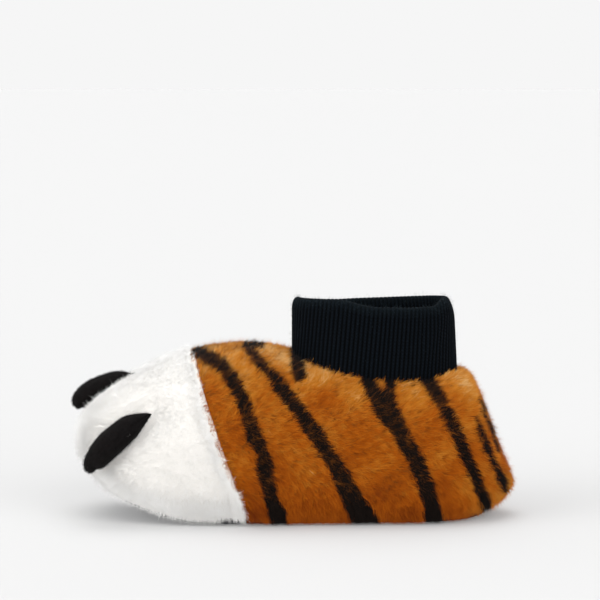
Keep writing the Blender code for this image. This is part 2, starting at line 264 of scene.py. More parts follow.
def subdivide(piece: Piece, division: Division) -> None:
    """Divides each face of a piece twice."""
    modifier = piece.modifiers.new("finer", "SUBSURF")
    modifier.levels = modifier.render_levels = 2
    modifier.subdivision_type = division.value
    select_only(piece)
    bpy.ops.object.modifier_apply(modifier=modifier.name)


def smooth_up_to(piece: Piece, degrees: float) -> None:
    """Shades a piece smooth, apart from edges sharper than this."""
    select_only(piece)
    bpy.ops.object.shade_smooth_by_angle(angle=math.radians(degrees))


def points_of(piece: Piece) -> Array:
    """The piece's vertices in millimetres."""
    found = np.empty(len(piece.data.vertices) * 3, np.float32)
    piece.data.vertices.foreach_get("co", found)
    return found.reshape(-1, 3).astype(float) / MM


def normals_of(piece: Piece) -> Array:
    """The normals at the piece's vertices."""
    return np.array([vertex.normal for vertex in piece.data.vertices])


def faces_of(piece: Piece) -> tuple[Array, Array]:
    """The middles of the piece's faces in millimetres, and their normals."""
    faces = piece.data.polygons
    return np.array([face.center for face in faces]) / MM, np.array([face.normal for face in faces])


def move_points(piece: Piece, points: Array) -> None:
    """Puts the piece's vertices at these places in millimetres."""
    piece.data.vertices.foreach_set("co", (points * MM).astype(np.float32).ravel())
    piece.data.update()


def search_tree(piece: Piece, scale: float) -> BVHTree:
    """The piece's faces for searches, in units of this many metres."""
    corners = [tuple(face.vertices) for face in piece.data.polygons]
    return BVHTree.FromPolygons([vertex.co / scale for vertex in piece.data.vertices], corners)


def inset_copy(node: Piece, name: str, faces: Field, inset: float) -> Piece:
    """Copies a node with some of its faces moved in, to leave room for the pile on them.

    Args:
        node: the node of the frame.
        name: of the copy.
        faces: picks the faces that move.
        inset: how far they move.

    Returns:
        The copy, with those faces in its second material slot.
    """
    piece = merged_copy(node, name)
    total = np.zeros((len(piece.data.vertices), 3))
    for face, moves in zip(piece.data.polygons, faces(*faces_of(piece))):
        face.material_index = int(moves)
        if moves:
            total[list(face.vertices)] += np.array(face.normal) * face.area
    touched = np.linalg.norm(total, axis=1, keepdims=True) > 0
    move_points(piece, points_of(piece) - np.where(touched, unit(total), 0.0) * inset)
    smooth_up_to(piece, 50.0)
    return piece


def settle(piece: Piece, slot: str, *nodes: str) -> None:
    """Lets a piece ride on the slipper, in place of nodes of the frame."""
    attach(piece, BODY)
    if nodes:
        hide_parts(*nodes)
    LOG.info("%s: %d faces", piece.name, len(piece.data.polygons))


@dataclass
class Skin:
    """Triangles of a surface, with a smooth normal at each corner."""

    corners: Array
    normals: Array

    @classmethod
    def of_mesh(cls, piece: Piece, keep: Field) -> "Skin":
        """Reads the part of a mesh that a pile stands on.

        Args:
            piece: an object with triangles or quads, loose or merged.
            keep: picks triangles from their centres and normals.

        Returns:
            The kept triangles.
        """
        piece.data.calc_loop_triangles()
        triangles = np.empty(len(piece.data.loop_triangles) * 3, np.int32)
        piece.data.loop_triangles.foreach_get("vertices", triangles)
        corners = points_of(piece)[triangles.reshape(-1, 3)]
        across = crossed(corners)
        kept = keep(corners.mean(axis=1), unit(across))
        corners, across = corners[kept], across[kept]
        _, place = np.unique(corners.reshape(-1, 3).round(3), axis=0, return_inverse=True)
        place = place.ravel()
        total = np.zeros((place.max() + 1, 3))
        np.add.at(total, place, np.repeat(across, 3, axis=0))
        return cls(corners, unit(total)[place].reshape(-1, 3, 3))

    def with_faces(self, other: "Skin") -> "Skin":
        """This skin together with another one."""
        return Skin(np.vstack([self.corners, other.corners]), np.vstack([self.normals, other.normals]))

    def scatter(self, count: int, rng: np.random.Generator) -> tuple[Array, Array]:
        """Draws places over the surface, evenly but for the lower edge, where they lie closer.

        Args:
            count: how many.
            rng: the random source.

        Returns:
            The places and their unit normals.
        """
        middle = self.corners.mean(axis=1)
        low = 1 - eased(middle[:, 2] - sole_top(middle[:, 0]), *EDGE_BAND)
        area = np.linalg.norm(crossed(self.corners), axis=1) * (1 + EDGE_DENSITY * low)
        chosen = rng.choice(len(area), count, p=area / area.sum())
        u, v = rng.random((2, count))
        folded = u + v > 1
        u, v = np.where(folded, 1 - u, u), np.where(folded, 1 - v, v)
        share = np.stack([1 - u - v, u, v], axis=1)[..., None]
        places = (self.corners[chosen] * share).sum(axis=1)
        normals = self.normals[chosen]
        above = ((places[:, None] - self.corners[chosen]) * normals).sum(axis=2, keepdims=True)
        return places - ROUNDING * (normals * above * share).sum(axis=1), unit((normals * share).sum(axis=1))


# Places on the slipper


def looks_out(centres: Array, normals: Array) -> Array:
    """Picks faces that look away from the foot."""
    core = np.zeros_like(centres)
    core[:, 0] = np.clip(centres[:, 0], *CORE_ENDS)
    core[:, 2] = CORE_HEIGHT
    return ((centres - core) * normals).sum(axis=1) > 0


def outer_skin(centres: Array, normals: Array) -> Array:
    """Picks faces that look away from the foot and aren't the flat underside."""
    return looks_out(centres, normals) & (normals[:, 2] > UNDERSIDE)


def behind_seam(points: Array) -> Array:
    """How far points lie behind the seam's plane, towards the heel."""
    return (points[:, 0] - SEAM_FOOT + SEAM_LEAN * points[:, 2]) / math.hypot(1.0, SEAM_LEAN)


def behind_pile_edge(points: Array) -> Array:
    """How far points lie behind the line where the white and the striped pile meet."""
    height = points[:, 2]
    bow = SEAM_BOW * eased(height, *BOW_RISES) * (1 - eased(height, *BOW_FALLS))
    wander = sum(size * Ripples(wave, WANDER_SEED).value(points) for wave, size in EDGE_WANDERS)
    crest = CREST_ADVANCE * eased(height, *CREST_HEIGHTS)
    return behind_seam(points) + PILE_ADVANCE + bow + crest + wander


def sole_top(along: Array) -> Array:
    """Height of the upper's lower edge over the sole."""
    toe = np.maximum(SPRING_STARTS - along, 0.0) / SPRING_LENGTH
    heel = np.maximum(along - HEEL_LIFT_STARTS, 0.0) / HEEL_LIFT_LENGTH
    return SOLE_EDGE + TOE_SPRING * toe**1.2 + HEEL_LIFT * heel**2


# Finishes


def linear(colour: str) -> tuple[float, float, float, float]:
    """Turns an sRGB hex colour into linear light.

    Args:
        colour: six hex digits, with or without a hash.

    Returns:
        Linear red, green and blue, and an alpha of 1.
    """
    digits = colour.lstrip("#")
    parts = [int(digits[i : i + 2], 16) / 255 for i in (0, 2, 4)]
    light = [c / 12.92 if c <= 0.04045 else ((c + 0.055) / 1.055) ** 2.4 for c in parts]
    return (*light, 1.0)


def add_node(tree: Tree, kind: str, inputs: dict | None = None) -> bpy.types.Node:
    """Adds a node and fills it in.

    Args:
        tree: the node tree that gets it.
        kind: the type of the node.
        inputs: attributes by name, and values or sockets by the name or number of the input they feed.

    Returns:
        The new node.
    """
    node = tree.nodes.new(kind)
    for key, value in (inputs or {}).items():
        if isinstance(value, Socket):
            tree.links.new(value, node.inputs[key])
        elif isinstance(key, int) or key in node.inputs:
            node.inputs[key].default_value = value
        else:
            setattr(node, key, value)
    return node


def emptied(owner: bpy.types.Material | bpy.types.World) -> Tree:
    """The node tree of a new material or world, with nothing in it."""
    owner.use_nodes = True
    owner.node_tree.nodes.clear()
    return owner.node_tree


def maths(tree: Tree, operation: str, *terms: Socket | float) -> Socket:
    """What comes of sockets and numbers."""
    return add_node(tree, "ShaderNodeMath", {"operation": operation, **dict(enumerate(terms))}).outputs[0]


def ranged(tree: Tree, value: Socket, start: float, end: float, low: float = 0.0) -> Socket:
    """Goes from low to 1 while the value goes from start to end."""
    limits = {"From Min": start, "From Max": end, "To Min": low, "To Max": 1.0}
    return add_node(tree, "ShaderNodeMapRange", {"Value": value, **limits}).outputs["Result"]


def mixed(
    tree: Tree, share: Socket | float, first: Socket | tuple, second: Socket | tuple, blend: str = "MIX"
) -> Socket:
    """A colour between two others."""
    inputs = {"data_type": "RGBA", "blend_type": blend, "Factor": share, 6: first, 7: second}
    return add_node(tree, "ShaderNodeMix", inputs).outputs[2]


def noise(tree: Tree, size: float, detail: float, roughness: float = 0.5) -> Socket:
    """Soft noise with spots of this size."""
    inputs = {
        "Vector": add_node(tree, "ShaderNodeTexCoord").outputs["Object"],
        "Scale": 1 / (size * MM), "Detail": detail, "Roughness": roughness,
    }
    return add_node(tree, "ShaderNodeTexNoise", inputs).outputs["Fac"]


def raised(tree: Tree, height: Socket, strength: float, distance: float) -> Socket:
    """The normal of a surface with this relief."""
    inputs = {"Strength": strength, "Distance": distance * MM, "Height": height}
    return add_node(tree, "ShaderNodeBump", inputs).outputs["Normal"]


def map_parts(tree: Tree, name: str) -> tuple[Socket, Socket]:
    """The places across and up a map."""
    place = add_node(tree, "ShaderNodeUVMap", {"uv_map": name})
    parts = add_node(tree, "ShaderNodeSeparateXYZ", {"Vector": place.outputs["UV"]})
    return parts.outputs["X"], parts.outputs["Y"]


@dataclass(frozen=True)
class Finish:
    """A material that is made once and put on pieces."""

    name: str

    def surface(self, tree: Tree) -> dict:
        """The inputs of the shader, with the sockets that feed them."""
        raise NotImplementedError

    def put_on(self, piece: Piece) -> None:
        """Adds the material to a piece."""
        material = bpy.data.materials.get(self.name)
        if material is None:
            material = bpy.data.materials.new(self.name)
            tree = emptied(material)
            shader = add_node(tree, "ShaderNodeBsdfPrincipled", self.surface(tree))
            add_node(tree, "ShaderNodeOutputMaterial", {"Surface": shader.outputs["BSDF"]})
        piece.data.materials.append(material)


@dataclass(frozen=True)
class PileFinish(Finish):
    """Cut acrylic pile: matt, with soft light along the fibres and painted shade darkening it at the roots.
    """

    stops: tuple[tuple[float, str], ...]  # shade across the fibre map, sRGB colour
    # painted shade: the colour is multiplied down to this at the root, for the shade deep in the pile
    root_light: float
    sheen: float = 0.03

    def surface(self, tree: Tree) -> dict:
        """The fibre's shade, with its normal kept on the outer side where its back shows."""
        across, up = map_parts(tree, FIBRE_MAP)
        shade = add_node(tree, "ShaderNodeValToRGB", {"Fac": across})
        ramp = shade.color_ramp
        for _ in self.stops[2:]:
            ramp.elements.new(0.5)
        for element, (where, colour) in zip(ramp.elements, self.stops):
            element.position = where
            element.color = linear(colour)
        # painted shade deep in the pile: the colour darkens towards the root
        depth = ranged(tree, up, 0.0, 0.8, self.root_light)
        fibre = add_node(tree, "ShaderNodeNewGeometry")
        side = maths(tree, "MULTIPLY_ADD", fibre.outputs["Backfacing"], -2.0, 1.0)
        outer = {"operation": "SCALE", 0: fibre.outputs["Normal"], "Scale": side}
        return {
            "Base Color": mixed(tree, 1.0, shade.outputs["Color"], depth, "MULTIPLY"),
            "Normal": add_node(tree, "ShaderNodeVectorMath", outer).outputs[0],
            "Roughness": 0.9, "Specular IOR Level": 0.06, "Sheen Weight": self.sheen, "Sheen Roughness": 0.5,
        }


@dataclass(frozen=True)
class ClothFinish(Finish):
    """Matt cloth with two sizes of unevenness: patches of colour and a fine raised grain."""

    dark: str
    light: str
    patch: float  # size of the colour patches
    grain: float  # size of the raised grain
    height: float  # of the grain
    roughness: float = 0.9
    sheen: float = 0.05

    def surface(self, tree: Tree) -> dict:
        """The patches and the grain."""
        return {
            "Base Color": mixed(tree, noise(tree, self.patch, 4.0), linear(self.dark), linear(self.light)),
            "Normal": raised(tree, noise(tree, self.grain, 3.0, 0.65), 0.8, self.height),
            "Roughness": self.roughness, "Specular IOR Level": 0.12, "Sheen Weight": self.sheen,
        }


@dataclass(frozen=True)
class KnitFinish(Finish):
    """Rib knit of wool blend yarn: each rib is a column of loops, which a bump draws as slanting lines."""

    # painted shade: the groove colour is darker than the crest's
    groove: str
    crest: str
    rim: str  # colour of the painted highlight along the rim
    knit_map: str  # across it the place round a rib in ribs, up it the height over the rim in millimetres
    stitch: float = 1.5  # height of one loop
    slant: float = 1.4  # of the loops, in loops for each rib
    loop_height: float = 0.3
    yarn: float = 1.6  # size of its unevenness
    rim_highlight_reach: float = 5.0  # how far below the rim the painted highlight starts

    def surface(self, tree: Tree) -> dict:
        """The ribs with their loops, with painted shade in the grooves and a painted highlight paler at the
        rim.
        """
        across, up = map_parts(tree, self.knit_map)
        around = maths(tree, "PINGPONG", across, 0.5)
        row = maths(tree, "DIVIDE", up, self.stitch)
        loops = maths(tree, "PINGPONG", maths(tree, "MULTIPLY_ADD", around, self.slant, row), 0.5)
        yarn = noise(tree, self.yarn, 4.0, 0.7)
        relief = maths(tree, "MULTIPLY_ADD", yarn, 0.9, loops)
        # painted shade in the grooves between ribs and between loops: the colour runs from the groove's to
        # the crest's
        light = maths(tree, "MULTIPLY", ranged(tree, around, 0.0, 0.5), relief)
        # painted highlight: paler towards the rim, where the light from above falls on the fold
        rim_highlight = maths(tree, "MULTIPLY", ranged(tree, up, -self.rim_highlight_reach, 0.0), yarn)
        ribs = mixed(tree, light, linear(self.groove), linear(self.crest))
        return {
            "Base Color": mixed(tree, rim_highlight, ribs, linear(self.rim)),
            "Normal": raised(tree, relief, 0.9, self.loop_height),
            "Roughness": 0.9, "Specular IOR Level": 0.05, "Sheen Weight": 0.01, "Sheen Roughness": 0.4,
        }


@dataclass(frozen=True)
class PaperFinish(Finish):
    """Matt studio paper of one even shade."""

    light: float

    def surface(self, tree: Tree) -> dict:
        """The plain shade."""
        return {"Base Color": (*[self.light] * 3, 1.0), "Roughness": 1.0, "Specular IOR Level": 0.0}


TIGER_STOPS = (
    (0.00, "#6E2A06"), (0.35, "#B2590B"), (0.60, "#CA8229"), (0.78, "#E4BB7E"),
    (0.86, "#211813"), (1.00, "#0C0807"),
)
CLAW_STOPS = ((0.0, "#050404"), (0.9, "#1F1918"), (0.94, "#64605E"), (1.0, "#8E8A87"))
TIGER_PILE = PileFinish("tiger_acrylic_pile", TIGER_STOPS, 0.65)
WHITE_PILE = PileFinish("white_acrylic_pile", ((0.0, "#F0EDE7"), (1.0, "#FCFBF9")), 1.0, 0.3)
CLAW_PILE = PileFinish("black_fleece_nap", CLAW_STOPS, 0.7, 0.01)
RIB_FUZZ = PileFinish("wool_fuzz", ((0.0, "#080B0D"), (1.0, "#3F4D53")), 0.8)
# painted shade: the pile's knitted base is a darker brown than the pile, for the shade among the roots
TIGER_BACKING = ClothFinish("tiger_pile_backing", "#77400F", "#98591A", 6.0, 0.6, 0.3)
WHITE_BACKING = ClothFinish("white_pile_backing", "#F1EEE9", "#F8F5F0", 6.0, 0.6, 0.1)
LINING_FLEECE = ClothFinish("cream_fleece_lining", "#C9BBA4", "#E0D5C2", 7.0, 0.9, 0.5)
INSOLE_FLEECE = ClothFinish("cream_fleece_insole", "#CFC2AC", "#E6DCCA", 9.0, 1.1, 0.7)
CLAW_FLEECE = ClothFinish("black_fleece", "#050404", "#0F0C0C", 4.0, 0.5, 0.25, 0.9, 0.01)
SOLE_CLOTH = ClothFinish("sole_canvas", "#1D1D20", "#2E2E31", 5.0, 0.55, 0.2)
GRIP_VINYL = ClothFinish("grip_vinyl", "#26262A", "#323237", 3.0, 0.3, 0.03, 0.45, 0.0)
SOLE_THREAD = ClothFinish("sole_thread", "#141416", "#2A2A2D", 1.0, 0.2, 0.08, 0.7)
RIB_KNIT = KnitFinish("rib_knit_wool", "#000000", "#0B1219", "#12191D", "Knit")
PAPER = PaperFinish("studio_paper", 0.605)


# Fibres


@dataclass
class Pile:
    """Fibres that stand on a skin, joined into a few meshes."""

    name: str
    finish: PileFinish
    slot: str
    strands: int
    pieces: int
    length: float
    width: float  # of a fibre at its middle
    inset: float  # of the roots below the skin
    seed: int
    lean: tuple[float, float] = (32.0, 62.0)  # degrees off the normal, lower and upper half
    scatter_degrees: float = 16.0
    sways: tuple[tuple[float, float], ...] = ()  # wavelength of the tufts and how far the tips gather
    uneven: float = 0.14  # of the lengths
    follow_skin: float = 0.75  # how far the shading follows the skin and not the fibre
    fringe: float = 0.0  # how far the tips hang below the lower edge
    fringe_height: float = 8.0  # above the lower edge, where the fibres start to hang
    twist: float = 0.45  # how far a fibre's flat side turns away from the skin's normal, in radians
    standing: float = 0.1  # share of the fibres that stand up from the others
    tufts: float = 0.0  # how much longer the fibres grow in the middle of a tuft
    tuft_size: float = 5.0
    lifted: tuple[float, float] = (0.0, 0.0)  # how far light evens out the shading in front and below

    def grow(
        self, skin: Skin, nap: Field, shade: Field, keep: Field | None = None, reach: Field | None = None
    ) -> None:
        """Grows the pile and settles its meshes, from toe to heel.

        Args:
            skin: the surface that it stands on.
            nap: the way that the fibres lean, from roots and normals; they lean less where it is short.
            shade: the place of each fibre across the fibre map, from where it shows and its normal.
            keep: picks the roots that are used, from roots and normals.
            reach: how long the fibres are against the pile's own length, from roots and normals.
        """
        rng = np.random.default_rng(self.seed)
        roots, normals = skin.scatter(self.strands, rng)
        if keep is not None:
            kept = keep(roots, normals)
            roots, normals = roots[kept], normals[kept]
        order = np.argsort(roots[:, 0])
        roots, normals = roots[order], normals[order]
        count = len(roots)
        way = tangent(nap(roots, normals), normals)
        lie = np.minimum(np.linalg.norm(way, axis=1), 1.0)
        way = unit(way)
        turn = np.radians(rng.normal(0.0, self.scatter_degrees, count))[:, None]
        way = way * np.cos(turn) + np.cross(normals, way) * np.sin(turn)
        standing = rng.random(count) < self.standing
        follows = np.where(standing, STANDING_SHARE, 1.0)
        growth = rng.normal(1.0, self.uneven, count)
        growth = growth + self.tufts * Ripples(self.tuft_size, self.seed).value(roots)
        half = self.length / 2 * np.clip(growth, *LENGTH_LIMITS)[:, None]
        if reach is not None:
            half = half * (reach(roots, normals) ** follows)[:, None]
        lie = lie * follows
        low, high = (np.radians(lie * rng.normal(angle, LEAN_SPREAD, count))[:, None] for angle in self.lean)
        sway = np.zeros_like(roots)
        for i, (wavelength, size) in enumerate(self.sways):
            sway += size * Ripples(wavelength, self.seed + 10 + i).slope(roots)
        sway = tangent(sway, normals)
        base = roots - normals * self.inset
        middle = base + (normals * np.cos(low) + way * np.sin(low)) * half + HALFWAY * sway
        tip = middle + (normals * np.cos(high) + way * np.sin(high)) * half + (1 - HALFWAY) * sway
        droop = self.droop(roots)
        middle[:, 2] = np.maximum(middle[:, 2] - HALFWAY * droop, FLOOR_GAPS[0])
        tip[:, 2] = np.maximum(tip[:, 2] - droop, FLOOR_GAPS[1])
        along = unit(tip - base)
        flat = unit(np.cross(along, normals))
        twist = rng.uniform(-self.twist, self.twist, count)[:, None]
        side = flat * np.cos(twist) + np.cross(along, flat) * np.sin(twist)
        thinner = np.where(standing, STANDING_WIDTH, 1.0)
        spread = side * (self.width / 2 * rng.uniform(0.7, 1.3, count) * thinner)[:, None]
        points = np.stack([base, middle - spread, middle + spread, tip], axis=1)
        shades = shade(SHOWN[0] * middle + SHOWN[1] * tip, normals)
        facing = self.follow_skin * normals + (1 - self.follow_skin) * np.cross(side, along)
        facing[:, ::2] -= np.array(self.lifted) * np.minimum(facing[:, ::2], 0.0)
        facing = unit(facing)
        for number, chosen in enumerate(np.array_split(np.arange(count), self.pieces), start=1):
            name = self.name if self.pieces == 1 else f"{self.name}_{number}"
            settle(self.join(name, points[chosen], shades[chosen], facing[chosen]), self.slot)

    def droop(self, roots: Array) -> Array:
        """How far the tips of fibres with these roots hang."""
        low = 1 - eased(roots[:, 2] - sole_top(roots[:, 0]), 0.0, self.fringe_height)
        toe = TOE_DROOP + (1 - TOE_DROOP) * eased(roots[:, 0], *THIN_SOLE)
        return self.fringe * low * toe * (1 - (1 - HEEL_DROOP) * eased(roots[:, 0], *HEEL_EDGE))

    def join(self, name: str, points: Array, shades: Array, facing: Array) -> Piece:
        """Joins fibres into one mesh with its maps and normals.

        Args:
            name: of the object.
            points: four points of each fibre: the root, two halfway, the tip.
            shades: of the fibres.
            facing: the normal that each is shaded with.

        Returns:
            The object.
        """
        count = len(points)
        corners = np.array([(0, 2, 1), (1, 2, 3)])
        piece = mesh_piece(name, points.reshape(-1, 3), repeated(corners, count, 4))
        thin = 0.004
        across = np.array([0.0, -thin, thin, 0.0])
        up = np.array([0.02, 0.5, 0.5, 0.98])
        places = np.stack([shades[:, None] + across, np.broadcast_to(up, (count, 4))], axis=2)
        layout = places[:, corners].astype(np.float32).ravel()
        for layer in (FIBRE_MAP, BAKE_MAP):
            piece.data.uv_layers.new(name=layer).uv.foreach_set("vector", layout)
        piece.data.normals_split_custom_set_from_vertices(np.repeat(facing, 4, axis=0).tolist())
        self.finish.put_on(piece)
        return piece


# Sub-assemblies


class Mark(NamedTuple):
    """One place on the middle line of a stripe, seen from the outer side."""

    along: float
    height: float
    half_width: float


STRIPES = [[Mark(*mark) for mark in stripe] for stripe in (
    (
        (-46.6, 76.9, 1.0), (-43.5, 76.2, 1.7), (-40.2, 75.3, 2.3), (-36, 74, 2.6), (-32.2, 72.2, 2.7),
        (-28.7, 69, 2.8), (-26.2, 65.3, 3.2), (-22, 58.6, 2.9), (-19.5, 51.5, 2.9), (-17.2, 44.4, 3.0),
        (-16.2, 40.8, 3.6), (-13.6, 36.5, 2.6), (-12.2, 33, 2.6), (-11.8, 27, 3.8), (-10.3, 19, 3.2),
        (-8.5, 11.4, 3.0), (-6.6, 5.5, 3.6), (-5.6, 0, 3.4),
    ),
    (
        (-20.8, 79.6, 1.5), (-17, 75.4, 1.9), (-9.8, 68.8, 2.1), (-6.6, 65.4, 2.8), (-1.3, 58.4, 3.0),
        (4.6, 51.3, 2.9), (9.7, 44.1, 3.1), (14.1, 36.9, 3.3), (19.1, 29.6, 3.3), (22.8, 22.2, 3.6),
        (25.7, 16.5, 4.4), (27.9, 11, 4.8), (32, 3.6, 5.5), (33.5, 0, 5.6),
    ),
    ((2.3, 78, 2.7), (2.8, 72, 2.8), (3.3, 67.8, 2.9)),
    (
        (41.2, 54.9, 5.2), (43.8, 51.3, 5.1), (46.3, 47.7, 4.8), (47.9, 44.1, 3.8), (52, 36.9, 3.3),
        (56.2, 29.6, 3.4), (58.9, 22.2, 3.5), (61.5, 14.8, 3.5), (62.9, 9, 3.3), (63.8, 3.6, 3.9),
        (64, 0, 3.9),
    ),
    ((33.8, 66, 3.0), (36.5, 61.5, 3.2), (39, 58, 3.8)),
    ((44.2, 66, 2.3), (44.4, 61, 2.6), (44, 56, 3.0)),
    (
        (60.5, 66, 2.6), (64, 61.6, 2.9), (68.4, 54.5, 2.7), (72.3, 47.3, 2.7), (76.6, 36.4, 2.7),
        (79.4, 29.1, 2.5), (83.1, 21.7, 2.4), (85.8, 14.2, 2.4), (87.9, 9.5, 2.4), (88.6, 5, 2.0),
    ),
    (
        (83.8, 47.5, 0.7), (85.8, 42.3, 1.2), (88.6, 35, 1.6), (91.4, 27.6, 1.2), (93.2, 24, 1.3),
        (94.8, 20.3, 1.8), (97.1, 16.5, 1.8), (98.4, 12.5, 1.4),
    ),
    ((86.8, 54.5, 0.8), (88.6, 48.5, 1.1), (91, 43.5, 1.3), (93.6, 35.5, 1.2), (95, 31, 0.7)),
    ((-20.8, 79.6, 1.3), (-14, 79.4, 1.1)),
)]


@dataclass
class StripedUpper:
    """The plush body: a backing with its lining, and the striped pile on it."""

    node: Piece
    toe_node: Piece  # its edge along the seam carries some of the striped pile
    collar: tuple[Array, Array]  # lowest and highest corner of the cuff
    inset: float = 2.6
    seam_start: float = 0.15  # the plush starts this far behind the seam's plane
    toe_edge: tuple[float, float] = (-7.0, -0.4)  # and the toe's edge lies between these
    pile_start: float = 0.6  # the roots start this far behind the line where the piles meet
    seam_width: float = 4.0  # behind it, where the pile is shorter and stands up
    seam_reach: float = 0.55
    seam_lie: float = 0.2
    far_drift: float = 7.0  # how far the stripes wander on the inner side
    bolder: float = 0.35  # what the stripes gain on each side where fibres cross
    edge_wander: float = 0.3
    edge_spread: float = 0.5
    flattened: float = 0.36  # what the pile loses along the instep and the back of the heel
    heel_plain: tuple[float, float] = (2.0, 9.0)  # the stripes end this far from the middle of the heel
    collar_clearance: float = 7.0
    lip_height: float = 9.0  # the edge that turns in over the sole lies below this
    golden: float = 0.34  # the plain shade across the fibre map
    palest: float = 0.77
    black: float = 0.94

    def skin_faces(self, centres: Array, normals: Array) -> Array:
        """Picks the faces behind the seam that carry pile."""
        return outer_skin(centres, normals) & (behind_seam(centres) > self.seam_start)

    def toe_edge_faces(self, centres: Array, normals: Array) -> Array:
        """Picks the toe cap's last row of faces before the seam."""
        behind = behind_seam(centres)
        return outer_skin(centres, normals) & (behind > self.toe_edge[0]) & (behind < self.toe_edge[1])

    def collar_distance(self, points: Array) -> tuple[Array, Array]:
        """How far points lie outside the collar in plan.

        Args:
            points: places on the upper.

        Returns:
            The distances, and unit vectors away from the collar.
        """
        low, high = self.collar
        middle, half = (low + high)[:2] / 2, (high - low)[:2] / 2
        offset = (points[:, :2] - middle) / half
        reach = np.maximum((np.abs(offset) ** COLLAR_POWER).sum(axis=1) ** (1 / COLLAR_POWER), 1e-6)
        away = signed_power(offset, COLLAR_POWER - 1) / half
        distance = np.linalg.norm(offset * half, axis=1) * (1 - 1 / reach)
        return distance, np.pad(unit(away), ((0, 0), (0, 1)))

    def nap(self, roots: Array, normals: Array) -> Array:
        """The way the pile lies: to the heel, downwards lower on the sides, and clear of the cuff."""
        height = eased(roots[:, 2], 8.0, 62.0) - 2.2 * (1 - eased(roots[:, 2], 4.0, 16.0))
        way = np.stack([np.ones(len(roots)), np.zeros(len(roots)), -0.8 + 1.0 * height], axis=1)
        way = way + 0.45 * Ripples(34.0, 3).slope(roots) + 0.4 * Ripples(11.0, 4).slope(roots)
        way = unit(tangent(way, normals))
        distance, away = self.collar_distance(roots)
        beside = 1 - eased(distance, 1.0, self.collar_clearance)
        inwards = np.minimum((way * away).sum(axis=1), 0.0) * beside
        lie = self.seam_lie + eased(behind_pile_edge(roots), 0.0, self.seam_width)
        return unit(way - away * inwards[:, None]) * lie[:, None]

    def stripe_depth(self, points: Array) -> Array:
        """How far inside a stripe points lie, or outside where negative.

        Args:
            points: places on the upper.

        Returns:
            Depths in millimetres.
        """
        inner = np.clip(points[:, 1] / 25.0, 0.0, 1.0)
        drift = self.far_drift * inner * np.sin(points[:, 2] / 13.0 + points[:, 0] / 37.0)
        place = np.stack([points[:, 0] + drift, points[:, 2]], axis=1)
        depth = np.full(len(points), -1e3)
        for stripe in STRIPES:
            for start, end in zip(stripe, stripe[1:]):
                first, second = np.array(start[:2]), np.array(end[:2])
                run = second - first
                share = np.clip((place - first) @ run / (run @ run), 0.0, 1.0)
                apart = np.linalg.norm(place - first - share[:, None] * run, axis=1)
                half_width = start.half_width + share * (end.half_width - start.half_width)
                depth = np.maximum(depth, half_width - apart)
        ragged = np.abs(points[:, 1]) + 2.5 * Ripples(7.0, 20).value(points)
        plain = eased(points[:, 0], 78.0, 88.0) * (1 - eased(ragged, *self.heel_plain))
        return depth + self.bolder - 8.0 * plain

    def reach(self, roots: Array, normals: Array) -> Array:
        """The pile is shorter beside the seam, and pressed flat along the instep and the back of the heel."""
        seam = self.seam_reach + (1 - self.seam_reach) * eased(behind_pile_edge(roots), 0.0, self.seam_width)
        across = 1 - eased(np.abs(normals[:, 1]), 0.25, 0.75)
        return seam * (1 - self.flattened * across * eased(roots[:, 2], 18.0, 40.0))

    def behind_edge(self, roots: Array, normals: Array) -> Array:
        """Picks roots behind the line where the piles meet."""
        return behind_pile_edge(roots) > self.pile_start

    def shade(self, points: Array, normals: Array) -> Array:
        """Golden brown with soft patches and black in the stripes, with painted light from above, paler on
        the instep and the heel, and painted shade near the floor.
        """
        rng = np.random.default_rng(71)
        count = len(points)
        along, height = points[:, 0], points[:, 2]
        # painted light and shade: paler higher up and darker near the floor, as the light from above falls
        high = 0.10 * eased(height, 30.0, 72.0)
        low = -0.12 * (1 - eased(height, 6.0, 30.0))
        # painted highlight on the upper part of the heel; the next line makes the heel paler low down as well
        heel = 0.15 * eased(along, 68.0, 92.0) * eased(height, 25.0, 60.0)
        heel_foot = 0.24 * eased(along, 68.0, 90.0) * (1 - eased(height, 10.0, 30.0))
        # painted highlight where the pile faces up, as on the instep
        instep = 0.17 * eased(normals[:, 2], 0.5, 0.95)
        patches = 0.06 * Ripples(19.0, 5).value(points) + 0.05 * Ripples(4.0, 6).value(points)
        golden = self.golden + high + low + heel + instep + heel_foot + patches + rng.normal(0.0, 0.06, count)
        edge = self.edge_wander * (Ripples(5.0, 7).value(points) + 0.8 * Ripples(1.8, 8).value(points))
        striped = self.stripe_depth(points) + edge + rng.normal(0.0, self.edge_spread, count) > 0
        black = np.clip(self.black + rng.normal(0.0, 0.03, count), 0.87, 0.99)
        return np.where(striped, black, np.clip(golden, 0.01, self.palest))

    def build(self) -> None:
        """Builds the backing and grows the pile."""
        toe_edge = Skin.of_mesh(self.toe_node, self.toe_edge_faces)
        skin = Skin.of_mesh(self.node, self.skin_faces).with_faces(toe_edge)
        backing = inset_copy(self.node, "upper_backing", self.skin_faces, self.inset)
        LINING_FLEECE.put_on(backing)
        TIGER_BACKING.put_on(backing)
        centres, normals = faces_of(backing)
        lip = (centres[:, 2] < self.lip_height) & ((normals[:, 2] < -0.5) | looks_out(centres, normals))
        for number in np.flatnonzero(lip):
            backing.data.polygons[number].material_index = 1
        settle(backing, "tiger_plush", "upper")
        Pile(
            "tiger_pile", TIGER_PILE, "tiger_plush", 255000, 3, 4.4, 0.15, self.inset, 21,
            lean=(34.0, 60.0), scatter_degrees=24.0, fringe=2.6, twist=0.8, tufts=0.24, tuft_size=3.4,
            sways=((26.0, 0.6), (5.5, 0.75), (2.2, 0.6)), uneven=0.24, standing=0.16,
        ).grow(skin, self.nap, self.shade, self.behind_edge, self.reach)


class Side(Enum):
    """Where a claw is sewn in."""

    OUTER = "outer"
    MIDDLE = "middle"
    INNER = "inner"


